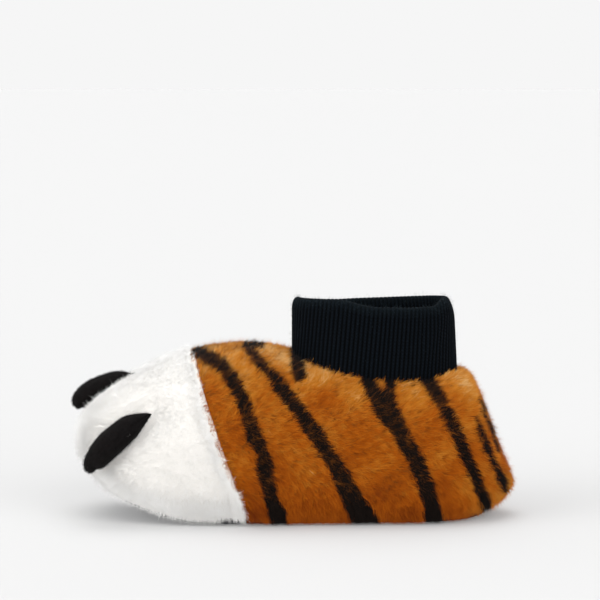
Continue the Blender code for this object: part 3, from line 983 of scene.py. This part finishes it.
@dataclass
class Claw:
    """One stuffed fleece claw with its short nap."""

    node: Piece
    side: Side
    nap_length: float = 1.1
    strands: int = 4200
    lint: float = 0.003  # share of the fibres that are lint
    filling: float = 0.3  # what smoothing took off the pod
    seam_depth: float = 0.35
    seam_place: float = 0.25  # across the pod, from -1 on top to 1 below
    seam_width: float = 0.09
    pinch: float = 1.3
    pinch_place: float = 0.9  # along the pod
    pinch_width: float = 0.045
    taper: float = 0.9  # what the end in the toe loses on each side
    below: tuple[float, float, float] = (-0.4, 0.0, -1.0)  # the way to the pinched side

    def build(self) -> Piece:
        """Builds the claw.

        Returns:
            Its smooth pod.
        """
        name = f"claw_{self.side.value}"
        pod = merged_copy(self.node, f"{name}_pod")
        subdivide(pod, Division.SMOOTH)
        move_points(pod, self.shaped(pod))
        pod.data.shade_smooth()
        CLAW_FLEECE.put_on(pod)
        settle(pod, "claw_fleece", name)
        skin = Skin.of_mesh(pod, lambda centres, normals: np.ones(len(centres), bool))
        Pile(
            f"{name}_nap", CLAW_PILE, "claw_fleece", self.strands, 1, self.nap_length, 0.14, 0.15, 41,
            scatter_degrees=40.0, sways=((3.0, 0.25),), follow_skin=0.6,
        ).grow(skin, self.lie, self.shade)
        return pod

    def shaped(self, pod: Piece) -> Array:
        """Fills the pod out again, with a seam along it and a pinch under its tip.

        Args:
            pod: the smoothed copy.

        Returns:
            The new places of its points.
        """
        points, normals = points_of(pod), normals_of(pod)
        middle = points.mean(axis=0)
        long_way = np.linalg.svd(points - middle, full_matrices=False)[2][0]
        long_way = -long_way * np.sign(long_way[0])
        along = (points - middle) @ long_way
        share = (along - along.min()) / (along.max() - along.min())
        under = unit(tangent(np.array(self.below), long_way))
        across = tangent(normals, np.broadcast_to(long_way, normals.shape)) @ under
        out = np.full(len(points), self.filling)
        out -= self.seam_depth * np.exp(-((across - self.seam_place) / self.seam_width) ** 2)
        out -= self.taper * (1 - eased(share, 0.0, 0.3))
        pinched = np.exp(-((share - self.pinch_place) / self.pinch_width) ** 2)
        out -= self.pinch * pinched * eased(across, -0.2, 0.8)
        return points + normals * out[:, None]

    def lie(self, roots: Array, normals: Array) -> Array:
        """The nap lies towards the tip."""
        return np.broadcast_to(np.array([-0.7, 0.0, -0.7]), roots.shape)

    def shade(self, points: Array, normals: Array) -> Array:
        """Black with a little unevenness and a few specks of white lint."""
        rng = np.random.default_rng(43)
        black = 0.4 + 0.2 * Ripples(3.0, 44).value(points) + rng.normal(0.0, 0.15, len(points))
        return np.where(rng.random(len(points)) < self.lint, 0.97, np.clip(black, 0.02, 0.88))


@dataclass
class WhiteToe:
    """The padded white panel over the toes and its pile."""

    node: Piece
    pods: list[Piece]  # of the claws, which leave no room for pile
    inset: float = 2.0
    seam_start: float = 0.4  # the panel ends this far in front of the seam's plane
    upright: float = 0.45  # how far the pile leans away from the lower edge
    lifted: tuple[float, float] = (0.3, 0.6)
    fringe: float = 1.6
    seam_band: float = 4.5  # width of the pile that lies over the stripes
    seam_gap: float = 0.2  # roots end this far in front of them
    rim_normals: float = 0.7  # fluff grows where the normal points less than this to the side
    fluff_lie: float = 0.4  # how far the fluff lies down against the pile
    padding_depth: float = 1.6  # of the white backing below the skin
    flattened: float = 0.35  # what the pile loses on top

    def skin_faces(self, centres: Array, normals: Array) -> Array:
        """Picks the faces in front of the seam that carry pile."""
        return outer_skin(centres, normals) & (behind_seam(centres) < -self.seam_start)

    def nap(self, roots: Array, normals: Array) -> Array:
        """The way the pile lies: upright, a little back from the tip, and down at the lower edge."""
        low = 1 - eased(roots[:, 2] - sole_top(roots[:, 0]), 2.0, 14.0)
        way = np.tile([1.0, 0.0, -0.1], (len(roots), 1))
        way[:, 2] -= 1.6 * low
        way = way + 0.2 * Ripples(24.0, 13).slope(roots) + 0.2 * Ripples(9.0, 14).slope(roots)
        way = tangent(way, normals)
        lie = np.minimum(np.linalg.norm(way, axis=1) / 0.6, 1.0) * (self.upright + (1 - self.upright) * low)
        return unit(way) * lie[:, None]

    def fluffed(self, roots: Array, normals: Array) -> Array:
        """The way the fluff lies: as the pile does, but standing further up."""
        return self.fluff_lie * self.nap(roots, normals)

    def over_seam(self, roots: Array, normals: Array) -> Array:
        """The way the pile beside the seam lies: back over the stripes, more so near them."""
        way = np.tile([2.0, 0.0, -0.3], (len(roots), 1)) + 0.5 * Ripples(5.0, 17).slope(roots)
        near = eased(behind_pile_edge(roots), -self.seam_band, -self.seam_gap)
        lie = self.upright + (1 - self.upright) * near
        return unit(tangent(way, normals)) * lie[:, None]

    def beside_seam(self, roots: Array, normals: Array) -> Array:
        """Picks roots in a narrow band in front of the seam, the fewer the further off."""
        behind = behind_pile_edge(roots)
        band = self.seam_band * np.random.default_rng(74).random(len(roots))
        return (behind > -band - self.seam_gap) & (behind < -self.seam_gap)

    def shade(self, points: Array, normals: Array) -> Array:
        """White, with painted shade that greys it a little in soft patches, like the hollows between tufts.
        """
        rng = np.random.default_rng(73)
        tufts = 0.06 * Ripples(8.0, 15).value(points) + 0.1 * Ripples(2.4, 16).value(points)
        return np.clip(0.82 + tufts + rng.normal(0.0, 0.12, len(points)), 0.02, 0.98)

    def reach(self, roots: Array, normals: Array) -> Array:
        """The pile is shorter on top of the toes."""
        return 1 - self.flattened * eased(normals[:, 2], 0.35, 0.8)

    def round_the_rim(self, roots: Array, normals: Array) -> Array:
        """Picks free roots off the flat of the two sides."""
        return self.clear_of_claws(roots, normals) & (np.abs(normals[:, 1]) < self.rim_normals)

    def clear_of_claws(self, roots: Array, normals: Array) -> Array:
        """Picks roots that no claw covers and that keep off the seam."""
        free = behind_pile_edge(roots) < -self.seam_gap
        for pod in self.pods:
            points, tree = points_of(pod), search_tree(pod, 1.0)
            near = ((roots > points.min(axis=0)) & (roots < points.max(axis=0))).all(axis=1)
            for i in np.flatnonzero(near):
                spot, normal, _, _ = tree.find_nearest(Vector(roots[i] * MM))
                free[i] &= (Vector(roots[i] * MM) - spot).dot(normal) > 0
        return free

    def build(self) -> None:
        """Builds the padding and grows the pile."""
        skin = Skin.of_mesh(self.node, self.skin_faces)
        padding = inset_copy(self.node, "toe_padding", self.skin_faces, self.padding_depth)
        WHITE_BACKING.put_on(padding)
        settle(padding, "white_plush", "toe_cap")
        white = (WHITE_PILE, "white_plush")
        shared = {"fringe": self.fringe, "lifted": self.lifted}
        Pile(
            "toe_pile", *white, 150000, 2, 3.1, 0.1, self.inset, 31,
            lean=(20.0, 42.0), scatter_degrees=45.0, twist=1.2, tufts=0.06, tuft_size=4.0,
            sways=((18.0, 0.15), (5.5, 0.15), (2.2, 0.2)), follow_skin=0.98, uneven=0.22, **shared,
        ).grow(skin, self.nap, self.shade, self.clear_of_claws, self.reach)
        Pile(
            "toe_fluff", *white, 24000, 1, 4.2, 0.1, self.inset, 35,
            lean=(12.0, 36.0), scatter_degrees=70.0, twist=1.2, tufts=0.15, tuft_size=5.0,
            sways=((5.5, 0.4), (2.2, 0.4)), follow_skin=0.99, uneven=0.25, **shared,
        ).grow(skin, self.fluffed, self.shade, self.round_the_rim, self.reach)
        Pile(
            "toe_seam_pile", *white, 330000, 1, 3.6, 0.11, 1.6, 33,
            lean=(34.0, 66.0), scatter_degrees=38.0, twist=1.0, tufts=0.35, tuft_size=3.5,
            sways=((5.5, 0.7), (2.2, 0.6)), follow_skin=0.98, uneven=0.4, **shared,
        ).grow(skin, self.over_seam, self.shade, self.beside_seam, self.reach)


@dataclass
class RibCuff:
    """The knitted cuff: a tube of ribs, folded over at its rim."""

    node: Piece
    ribs: int = 100
    per_rib: int = 6
    rows: int = 20  # on each side of the wall
    close_rows: int = 9  # of them, near the fold
    fold_rows: int = 7
    steps: int = 48  # of the node round its plan
    fine_steps: int = 2400
    girth: float = 200.0  # about the length round it
    rib_depth: float = 0.6
    rib_power: float = 0.7  # the lower, the rounder the ribs and the narrower the grooves
    wall: float = 3.0
    lean: float = 3.2  # how far the ribs lean to the heel over their height
    rim_lean: float = 1.8  # how far the rim leans in over the heel
    curl: tuple[float, float, float] = (0.2, 0.6, 1.8)  # how far the rim bends in: sides, toe end, heel end
    curl_reach: tuple[float, float] = (4.0, 9.0)  # how far below the fold it starts: toe end, heel end
    stretch: tuple[float, ...] = (55.0, 66.0, 72.0, 97.0)  # ends of the stretch fold, along and up
    stretch_height: float = 0.9
    stretch_width: float = 3.4
    fuzz: int = 11000
    fuzz_height: float = 64.0  # it grows above this

    def outline(self) -> tuple[Array, Array, Array, Array]:
        """Reads the node's plan, and the heights of its lower edge and rim, at even steps of length.

        Returns:
            Points of the plan, heights of the lower edge, heights of the rim, and how far each leans in.
        """
        points = np.unique(points_of(self.node).round(3), axis=0)
        low, high = points.min(axis=0), points.max(axis=0)
        middle, half = (low + high)[:2] / 2, (high - low)[:2] / 2
        offset = signed_power((points[:, :2] - middle) / half, COLLAR_POWER / 2)
        angle = np.arctan2(offset[:, 1], offset[:, 0])
        number = np.round(angle / (2 * math.pi) * self.steps).astype(int) % self.steps
        heights = [points[number == i, 2] for i in range(self.steps)]
        edges = [
            np.fft.irfft(np.fft.rfft(edge), self.fine_steps) * self.fine_steps / self.steps
            for edge in ([h.min() for h in heights], [h.max() for h in heights])
        ]
        turn = np.linspace(0.0, 2 * math.pi, self.fine_steps, endpoint=False)
        plan = middle + half * signed_power(np.column_stack([np.cos(turn), np.sin(turn)]), 2 / COLLAR_POWER)
        length = run_length(np.vstack([plan, plan[:1]]))
        wanted = np.linspace(0.0, length[-1], self.ribs * self.per_rib, endpoint=False)
        inwards = self.rim_lean * np.maximum(np.cos(turn), 0.0)
        x, y, floor, rim, lean_in = (
            np.interp(wanted, length, np.append(row, row[0])) for row in (*plan.T, *edges, inwards)
        )
        return np.stack([x, y], axis=1), floor, rim, lean_in

    def stretch_fold(self, along: Array, height: Array) -> Array:
        """How far the soft stretch fold on the outer side stands out.

        Args:
            along: places along the shoe.
            height: and above the floor.

        Returns:
            Heights of the fold.
        """
        first, second = np.array(self.stretch[:2]), np.array(self.stretch[2:])
        run = second - first
        place = np.stack([along, height], axis=1) - first
        share = place @ run / (run @ run)
        apart = (place[:, 0] * run[1] - place[:, 1] * run[0]) / np.linalg.norm(run)
        ends = eased(share, -0.2, 0.4) * (1 - eased(share, 0.8, 1.15))
        return self.stretch_height * ends * np.exp(-((apart / self.stretch_width) ** 2))

    def wall_rows(self) -> list[tuple[float, float, float]]:
        """Lays out the rows up the outer face, over the fold and down the inner face.

        Returns:
            How far each lies in from the outer face, its share of the height, and its height in the fold.
        """
        fold = self.wall / 2
        wide = np.linspace(0.0, 0.8, self.rows - self.close_rows)
        close = np.sqrt(np.linspace(0.64, 1.0, self.close_rows + 1)[1:])
        shares = np.concatenate([wide, close])
        turns = np.linspace(0.0, math.pi, self.fold_rows + 2)[1:-1]
        over = [(fold * (1 - math.cos(turn)), 1.0, fold * math.sin(turn)) for turn in turns]
        outer, inner = ([(inset, share, 0.0) for share in shares] for inset in (0.0, self.wall))
        return outer + over + inner[::-1]

    def knitted(self) -> tuple[Array, Array]:
        """Works out the tube's rows.

        Returns:
            Points of the rows and their places on the knit map.
        """
        plan, floor, rim, lean_in = self.outline()
        around = len(plan)
        step = np.roll(plan, -1, axis=0) - np.roll(plan, 1, axis=0)
        outward = unit(np.stack([step[:, 1], -step[:, 0]], axis=1))
        fold = self.wall / 2
        place = np.arange(around) / self.per_rib
        bulge = self.rib_depth * (np.abs(np.sin(math.pi * (place % 1.0))) ** self.rib_power - 1.0)
        sides, toe_end, heel_end = self.curl
        to_toe, to_heel = (np.maximum(sign * outward[:, 0], 0.0) ** 3 for sign in (-1, 1))
        curl = sides + toe_end * to_toe + heel_end * to_heel
        curl_reach = np.where(outward[:, 0] < 0, *self.curl_reach)
        grid, knit = [], []
        for inset, share, above in self.wall_rows():
            taken = (np.arange(around) + self.lean * share * self.per_rib * self.ribs / self.girth) % around
            index = np.floor(taken).astype(int)
            beside = (index + 1) % around
            part = (taken - index)[:, None]
            spot = plan[index] * (1 - part) + plan[beside] * part
            normal = unit(outward[index] * (1 - part) + outward[beside] * part)
            base = floor[index] + (rim[index] - fold - floor[index]) * share
            base += above * (1.0 + 0.5 * bulge / fold)
            out = bulge * math.cos(math.pi * (inset / self.wall))
            bent = np.maximum(1 - (rim[index] - fold - base) / curl_reach[index], 0.0)
            out -= inset + curl[index] * bent**2
            out += self.stretch_fold(spot[:, 0], base) * np.maximum(-normal[:, 1], 0.0)
            flat = spot + normal * out[:, None]
            flat[:, 0] -= lean_in[index] * share
            grid.append(np.column_stack([flat, base]))
            knit.append(np.column_stack([place, base - rim[index]]))
        return np.stack(grid), np.stack(knit)

    def build(self) -> None:
        """Builds the tube and its fuzz."""
        points, knit = self.knitted()
        faces = ring_faces(*points.shape[:2], closed=True)
        tube = mesh_piece("rib_cuff", points.reshape(-1, 3), faces)
        layout = knit.reshape(-1, 2)[faces]
        wrapped = layout[..., 0].max(axis=1) - layout[..., 0].min(axis=1) > self.ribs / 2
        layout[wrapped, :, 0] = np.where(layout[wrapped, :, 0] == 0, self.ribs, layout[wrapped, :, 0])
        knit_map = tube.data.uv_layers.new(name=RIB_KNIT.knit_map)
        knit_map.uv.foreach_set("vector", layout.astype(np.float32).ravel())
        RIB_KNIT.put_on(tube)
        settle(tube, "rib_knit", "cuff")
        skin = Skin.of_mesh(tube, lambda centres, normals: centres[:, 2] > self.fuzz_height)
        Pile(
            "cuff_fuzz", RIB_FUZZ, "rib_knit", self.fuzz, 1, 1.7, 0.05, 0.05, 51,
            lean=(20.0, 50.0), scatter_degrees=90.0, uneven=0.35, follow_skin=0.5,
        ).grow(skin, self.lie, self.shade, self.at_rim)

    def at_rim(self, roots: Array, normals: Array) -> Array:
        """Picks most roots at the rim and few below it."""
        chance = 0.22 + 0.78 * eased(roots[:, 2], 90.0, 98.0)
        return np.random.default_rng(54).random(len(roots)) < chance

    def lie(self, roots: Array, normals: Array) -> Array:
        """Loose fibres lie every way."""
        return np.broadcast_to(np.array([0.3, 0.2, 1.0]), roots.shape) + 0.8 * Ripples(3.0, 52).slope(roots)

    def shade(self, points: Array, normals: Array) -> Array:
        """Paler at the rim, where the light comes through."""
        rim = 0.6 * eased(points[:, 2], 92.0, 100.0)
        return np.clip(0.1 + rim + np.random.default_rng(53).normal(0.0, 0.15, len(points)), 0.02, 0.98)


@dataclass
class ClothSole:
    """The cloth sole with its grip dots and edge stitches, and the fleece insole."""

    sole: Piece
    insole: Piece
    lift: float = 0.5  # the cloth lies this far above the dots' faces
    dot_radius: float = 1.35
    dot_sides: int = 10
    dot_pitch: float = 6.2
    dot_margin: float = 7.0
    stitch_length: float = 2.6
    stitch_pitch: float = 4.0
    stitch_margin: float = 2.4
    stitch_sides: int = 6
    stitch_bulge: tuple[float, ...] = (0.05, 0.28, 0.36, 0.28, 0.05)  # half its height along it
    stitch_width: float = 0.38  # half of it, in the middle
    stitch_sink: float = 0.1

    def build(self) -> None:
        """Builds the sole and the insole."""
        sole = merged_copy(self.sole, "sole_cloth")
        points = points_of(sole)
        points[normals_of(sole)[:, 2] < -0.2, 2] += self.lift
        move_points(sole, points)
        smooth_up_to(sole, 40.0)
        SOLE_CLOTH.put_on(sole)
        settle(sole, "sole_textile", "outsole")
        tree = search_tree(sole, MM)
        self.dots(tree, points)
        self.stitches(tree, points)
        self.pad()

    def edges(self, points: Array, along: Array) -> tuple[Array, Array]:
        """Reads the sole's outline.

        Args:
            points: the sole's vertices.
            along: places along the shoe.

        Returns:
            The outline's lowest and highest Y there.
        """
        stations = np.unique(points[:, 0].round(2))
        rows = [points[np.abs(points[:, 0] - s) < 0.02, 1] for s in stations]
        low = np.interp(along, stations, [row.min() for row in rows])
        return low, np.interp(along, stations, [row.max() for row in rows])

    def underside(self, tree: BVHTree, x: float, y: float) -> float:
        """Height of the cloth's underside."""
        spot, _, _, _ = tree.ray_cast(Vector((x, y, -20.0)), Vector((0.0, 0.0, 1.0)))
        return spot.z if spot else 0.0

    def dots(self, tree: BVHTree, points: Array) -> None:
        """Adds the grip dots, low domes in staggered rows."""
        low, high = points.min(axis=0), points.max(axis=0)
        margin, pitch, sides = self.dot_margin, self.dot_pitch, self.dot_sides
        angle = np.linspace(0.0, 2 * math.pi, sides, endpoint=False)
        circle = np.column_stack([np.cos(angle), np.sin(angle)])
        rings = ((1.0, 0.15), (0.92, -0.3), (0.6, -self.lift))
        radius = self.dot_radius
        dome = np.vstack([np.column_stack([r * radius * circle, np.full(sides, z)]) for r, z in rings])
        quads = ring_faces(len(rings), sides)
        top = len(dome) - sides
        fan = [(top, top + i + 2, top + i + 1) for i in range(sides - 2)]
        places = []
        for row, y in enumerate(np.arange(low[1], high[1], pitch * 0.866)):
            for x in np.arange(low[0] + (row % 2) * pitch / 2, high[0], pitch):
                outer, inner = self.edges(points, x + margin * np.array([-1.0, 0.0, 1.0]))
                inside = outer.max() + margin < y < inner.min() - margin
                if inside and low[0] + margin < x < high[0] - margin:
                    places.append((x, y, self.underside(tree, x, y)))
        triangles = np.vstack([quads[:, [0, 3, 2]], quads[:, [0, 2, 1]], fan])
        verts = (np.array(places)[:, None] + dome).reshape(-1, 3)
        piece = mesh_piece("grip_dots", verts, repeated(triangles, len(places), len(dome)))
        GRIP_VINYL.put_on(piece)
        settle(piece, "sole_textile")

    def stitches(self, tree: BVHTree, points: Array) -> None:
        """Adds the row of stitches along the sole's edge."""
        low, high = points[:, 0].min(), points[:, 0].max()
        reach = (high - low) / 2 - self.stitch_margin
        along = (low + high) / 2 - reach * np.cos(np.linspace(0.0, math.pi, 400))
        outer, inner = self.edges(points, along)
        there = np.column_stack([along, outer + self.stitch_margin])
        back = np.column_stack([along, inner - self.stitch_margin])[::-1]
        path = np.vstack([there, back])
        length = run_length(path)
        bulge = np.array(self.stitch_bulge)
        shares = np.linspace(0.0, 1.0, len(bulge))
        angle = np.linspace(0.0, 2 * math.pi, self.stitch_sides, endpoint=False)
        wide = (self.stitch_width * bulge / bulge.max())[:, None] * np.cos(angle)
        tall = bulge[:, None] * np.sin(angle)
        verts = []
        for start in np.arange(0.0, length[-1] - self.stitch_pitch, self.stitch_pitch):
            at = start + shares * self.stitch_length
            line = np.column_stack([np.interp(at, length, path[:, i]) for i in (0, 1)])
            height = np.array([self.underside(tree, *spot) for spot in line])
            ahead = unit(np.gradient(line, axis=0))
            sideways = np.column_stack([ahead[:, 1], -ahead[:, 0]])
            flat = line[:, None] + sideways[:, None] * wide[..., None]
            up = height[:, None] + tall - self.stitch_sink
            verts.append(np.concatenate([flat, up[..., None]], axis=2).reshape(-1, 3))
        faces = repeated(ring_faces(len(bulge), self.stitch_sides), len(verts), len(verts[0]))
        piece = mesh_piece("sole_stitches", np.concatenate(verts), faces)
        SOLE_THREAD.put_on(piece)
        settle(piece, "sole_textile")

    def pad(self) -> None:
        """Builds the insole as a soft pad with a crown."""
        pad = merged_copy(self.insole, "insole_pad")
        subdivide(pad, Division.PLAIN)
        points = points_of(pad)
        low, high = points.min(axis=0), points.max(axis=0)
        across = (2 * points[:, 1] - low[1] - high[1]) / (high[1] - low[1])
        crown = (1 - np.clip(np.abs(across), 0, 1) ** 3) * (normals_of(pad)[:, 2] > 0.5)
        points[:, 2] += crown * (0.5 + 0.35 * Ripples(14.0, 61).value(points))
        move_points(pad, points)
        smooth_up_to(pad, 50.0)
        INSOLE_FLEECE.put_on(pad)
        settle(pad, "insole_fleece", "insole")


# Studio


class Sun(NamedTuple):
    """A broad light from far away, which shines straight down until it is turned."""

    name: str
    turn: tuple[float, float, float]  # degrees
    strength: float  # on a surface that faces it
    spread: float  # how wide it looks, in degrees
    shadow: bool = True  # without, it stands for light that scatters between the fibres and off the floor

    def shine(self) -> None:
        """Adds the light to the scene."""
        lamp = bpy.data.lights.new(self.name, "SUN")
        lamp.energy = self.strength
        lamp.angle = math.radians(self.spread)
        lamp.use_shadow = self.shadow
        holder = bpy.data.objects.new(self.name, lamp)
        holder.rotation_euler = [math.radians(v) for v in self.turn]
        bpy.context.scene.collection.objects.link(holder)


SUNS = (
    Sun("top_light", (-20.0, 0.0, 0.0), 0.8, 46.0),
    Sun("top_fill", (-20.0, 0.0, 0.0), 0.9, 46.0, False),
    Sun("left_light", (77.0, 0.0, -60.0), 1.35, 60.0),
    Sun("right_light", (75.0, 0.0, 36.0), 1.85, 60.0),
    Sun("soft_fill", (80.0, 0.0, -60.0), 1.15, 60.0, False),
)


@dataclass
class Studio:
    """A plain pale floor under soft light, seen from the outer side."""

    photo_pixels: int = 600
    millimetres_per_pixel: float = 0.46
    target: tuple[float, float, float] = (3.5, 0.0, 99.0)
    elevation: float = 5.0
    distance: float = 1200.0
    sensor: float = 36.0
    background: str = "#F6F6F6"
    fill: float = 0.67
    floor_size: float = 60000.0
    floor_gap: float = 0.05  # below the sole

    def build(self) -> None:
        """Adds the floor, the lights and the camera."""
        bpy.ops.object.select_all(action="DESELECT")
        bpy.ops.mesh.primitive_plane_add(size=self.floor_size * MM, location=(0.0, 0.0, -self.floor_gap * MM))
        floor = bpy.context.object
        floor.name = "studio_floor"
        PAPER.put_on(floor)
        scene = bpy.context.scene
        scene.view_settings.view_transform = "Standard"
        scene.world = self.sky()
        for sun in SUNS:
            sun.shine()
        camera = bpy.data.objects.new("photo_camera", bpy.data.cameras.new("photo_camera"))
        scene.collection.objects.link(camera)
        tilt = math.radians(self.elevation)
        back = np.array([0.0, -math.cos(tilt), math.sin(tilt)])
        camera.location = (np.array(self.target) + back * self.distance) * MM
        camera.rotation_euler = (math.pi / 2 - tilt, 0.0, 0.0)
        camera.data.sensor_width = self.sensor
        camera.data.lens = self.sensor * self.distance / (self.photo_pixels * self.millimetres_per_pixel)
        camera.data.clip_end = 100.0
        scene.camera = camera

    def sky(self) -> bpy.types.World:
        """Even soft light from all round, in front of a pale backdrop."""
        world = bpy.data.worlds.new("studio_light")
        tree = emptied(world)
        ray = add_node(tree, "ShaderNodeLightPath").outputs["Is Camera Ray"]
        shown = (("#FFFFFF", self.fill), (self.background, 1.0))
        fill, backdrop = (
            add_node(tree, "ShaderNodeBackground", {"Color": linear(colour), "Strength": strength}).outputs[0]
            for colour, strength in shown
        )
        both = add_node(tree, "ShaderNodeMixShader", {0: ray, 1: fill, 2: backdrop})
        add_node(tree, "ShaderNodeOutputWorld", {"Surface": both.outputs[0]})
        return world


def main() -> None:
    """Loads the frame, builds the pieces in order and reports each."""
    logging.basicConfig(level=logging.INFO, format="%(name)s %(message)s")
    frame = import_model()
    nodes = frame["nodes"]
    collar = tuple(np.array(corner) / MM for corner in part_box("cuff"))
    StripedUpper(nodes["upper"], nodes["toe_cap"], collar).build()
    pods = [Claw(nodes[f"claw_{side.value}"], side).build() for side in Side]
    WhiteToe(nodes["toe_cap"], pods).build()
    RibCuff(nodes["cuff"]).build()
    ClothSole(nodes["outsole"], nodes["insole"]).build()
    Studio().build()


if __name__ == "__main__":
    main()
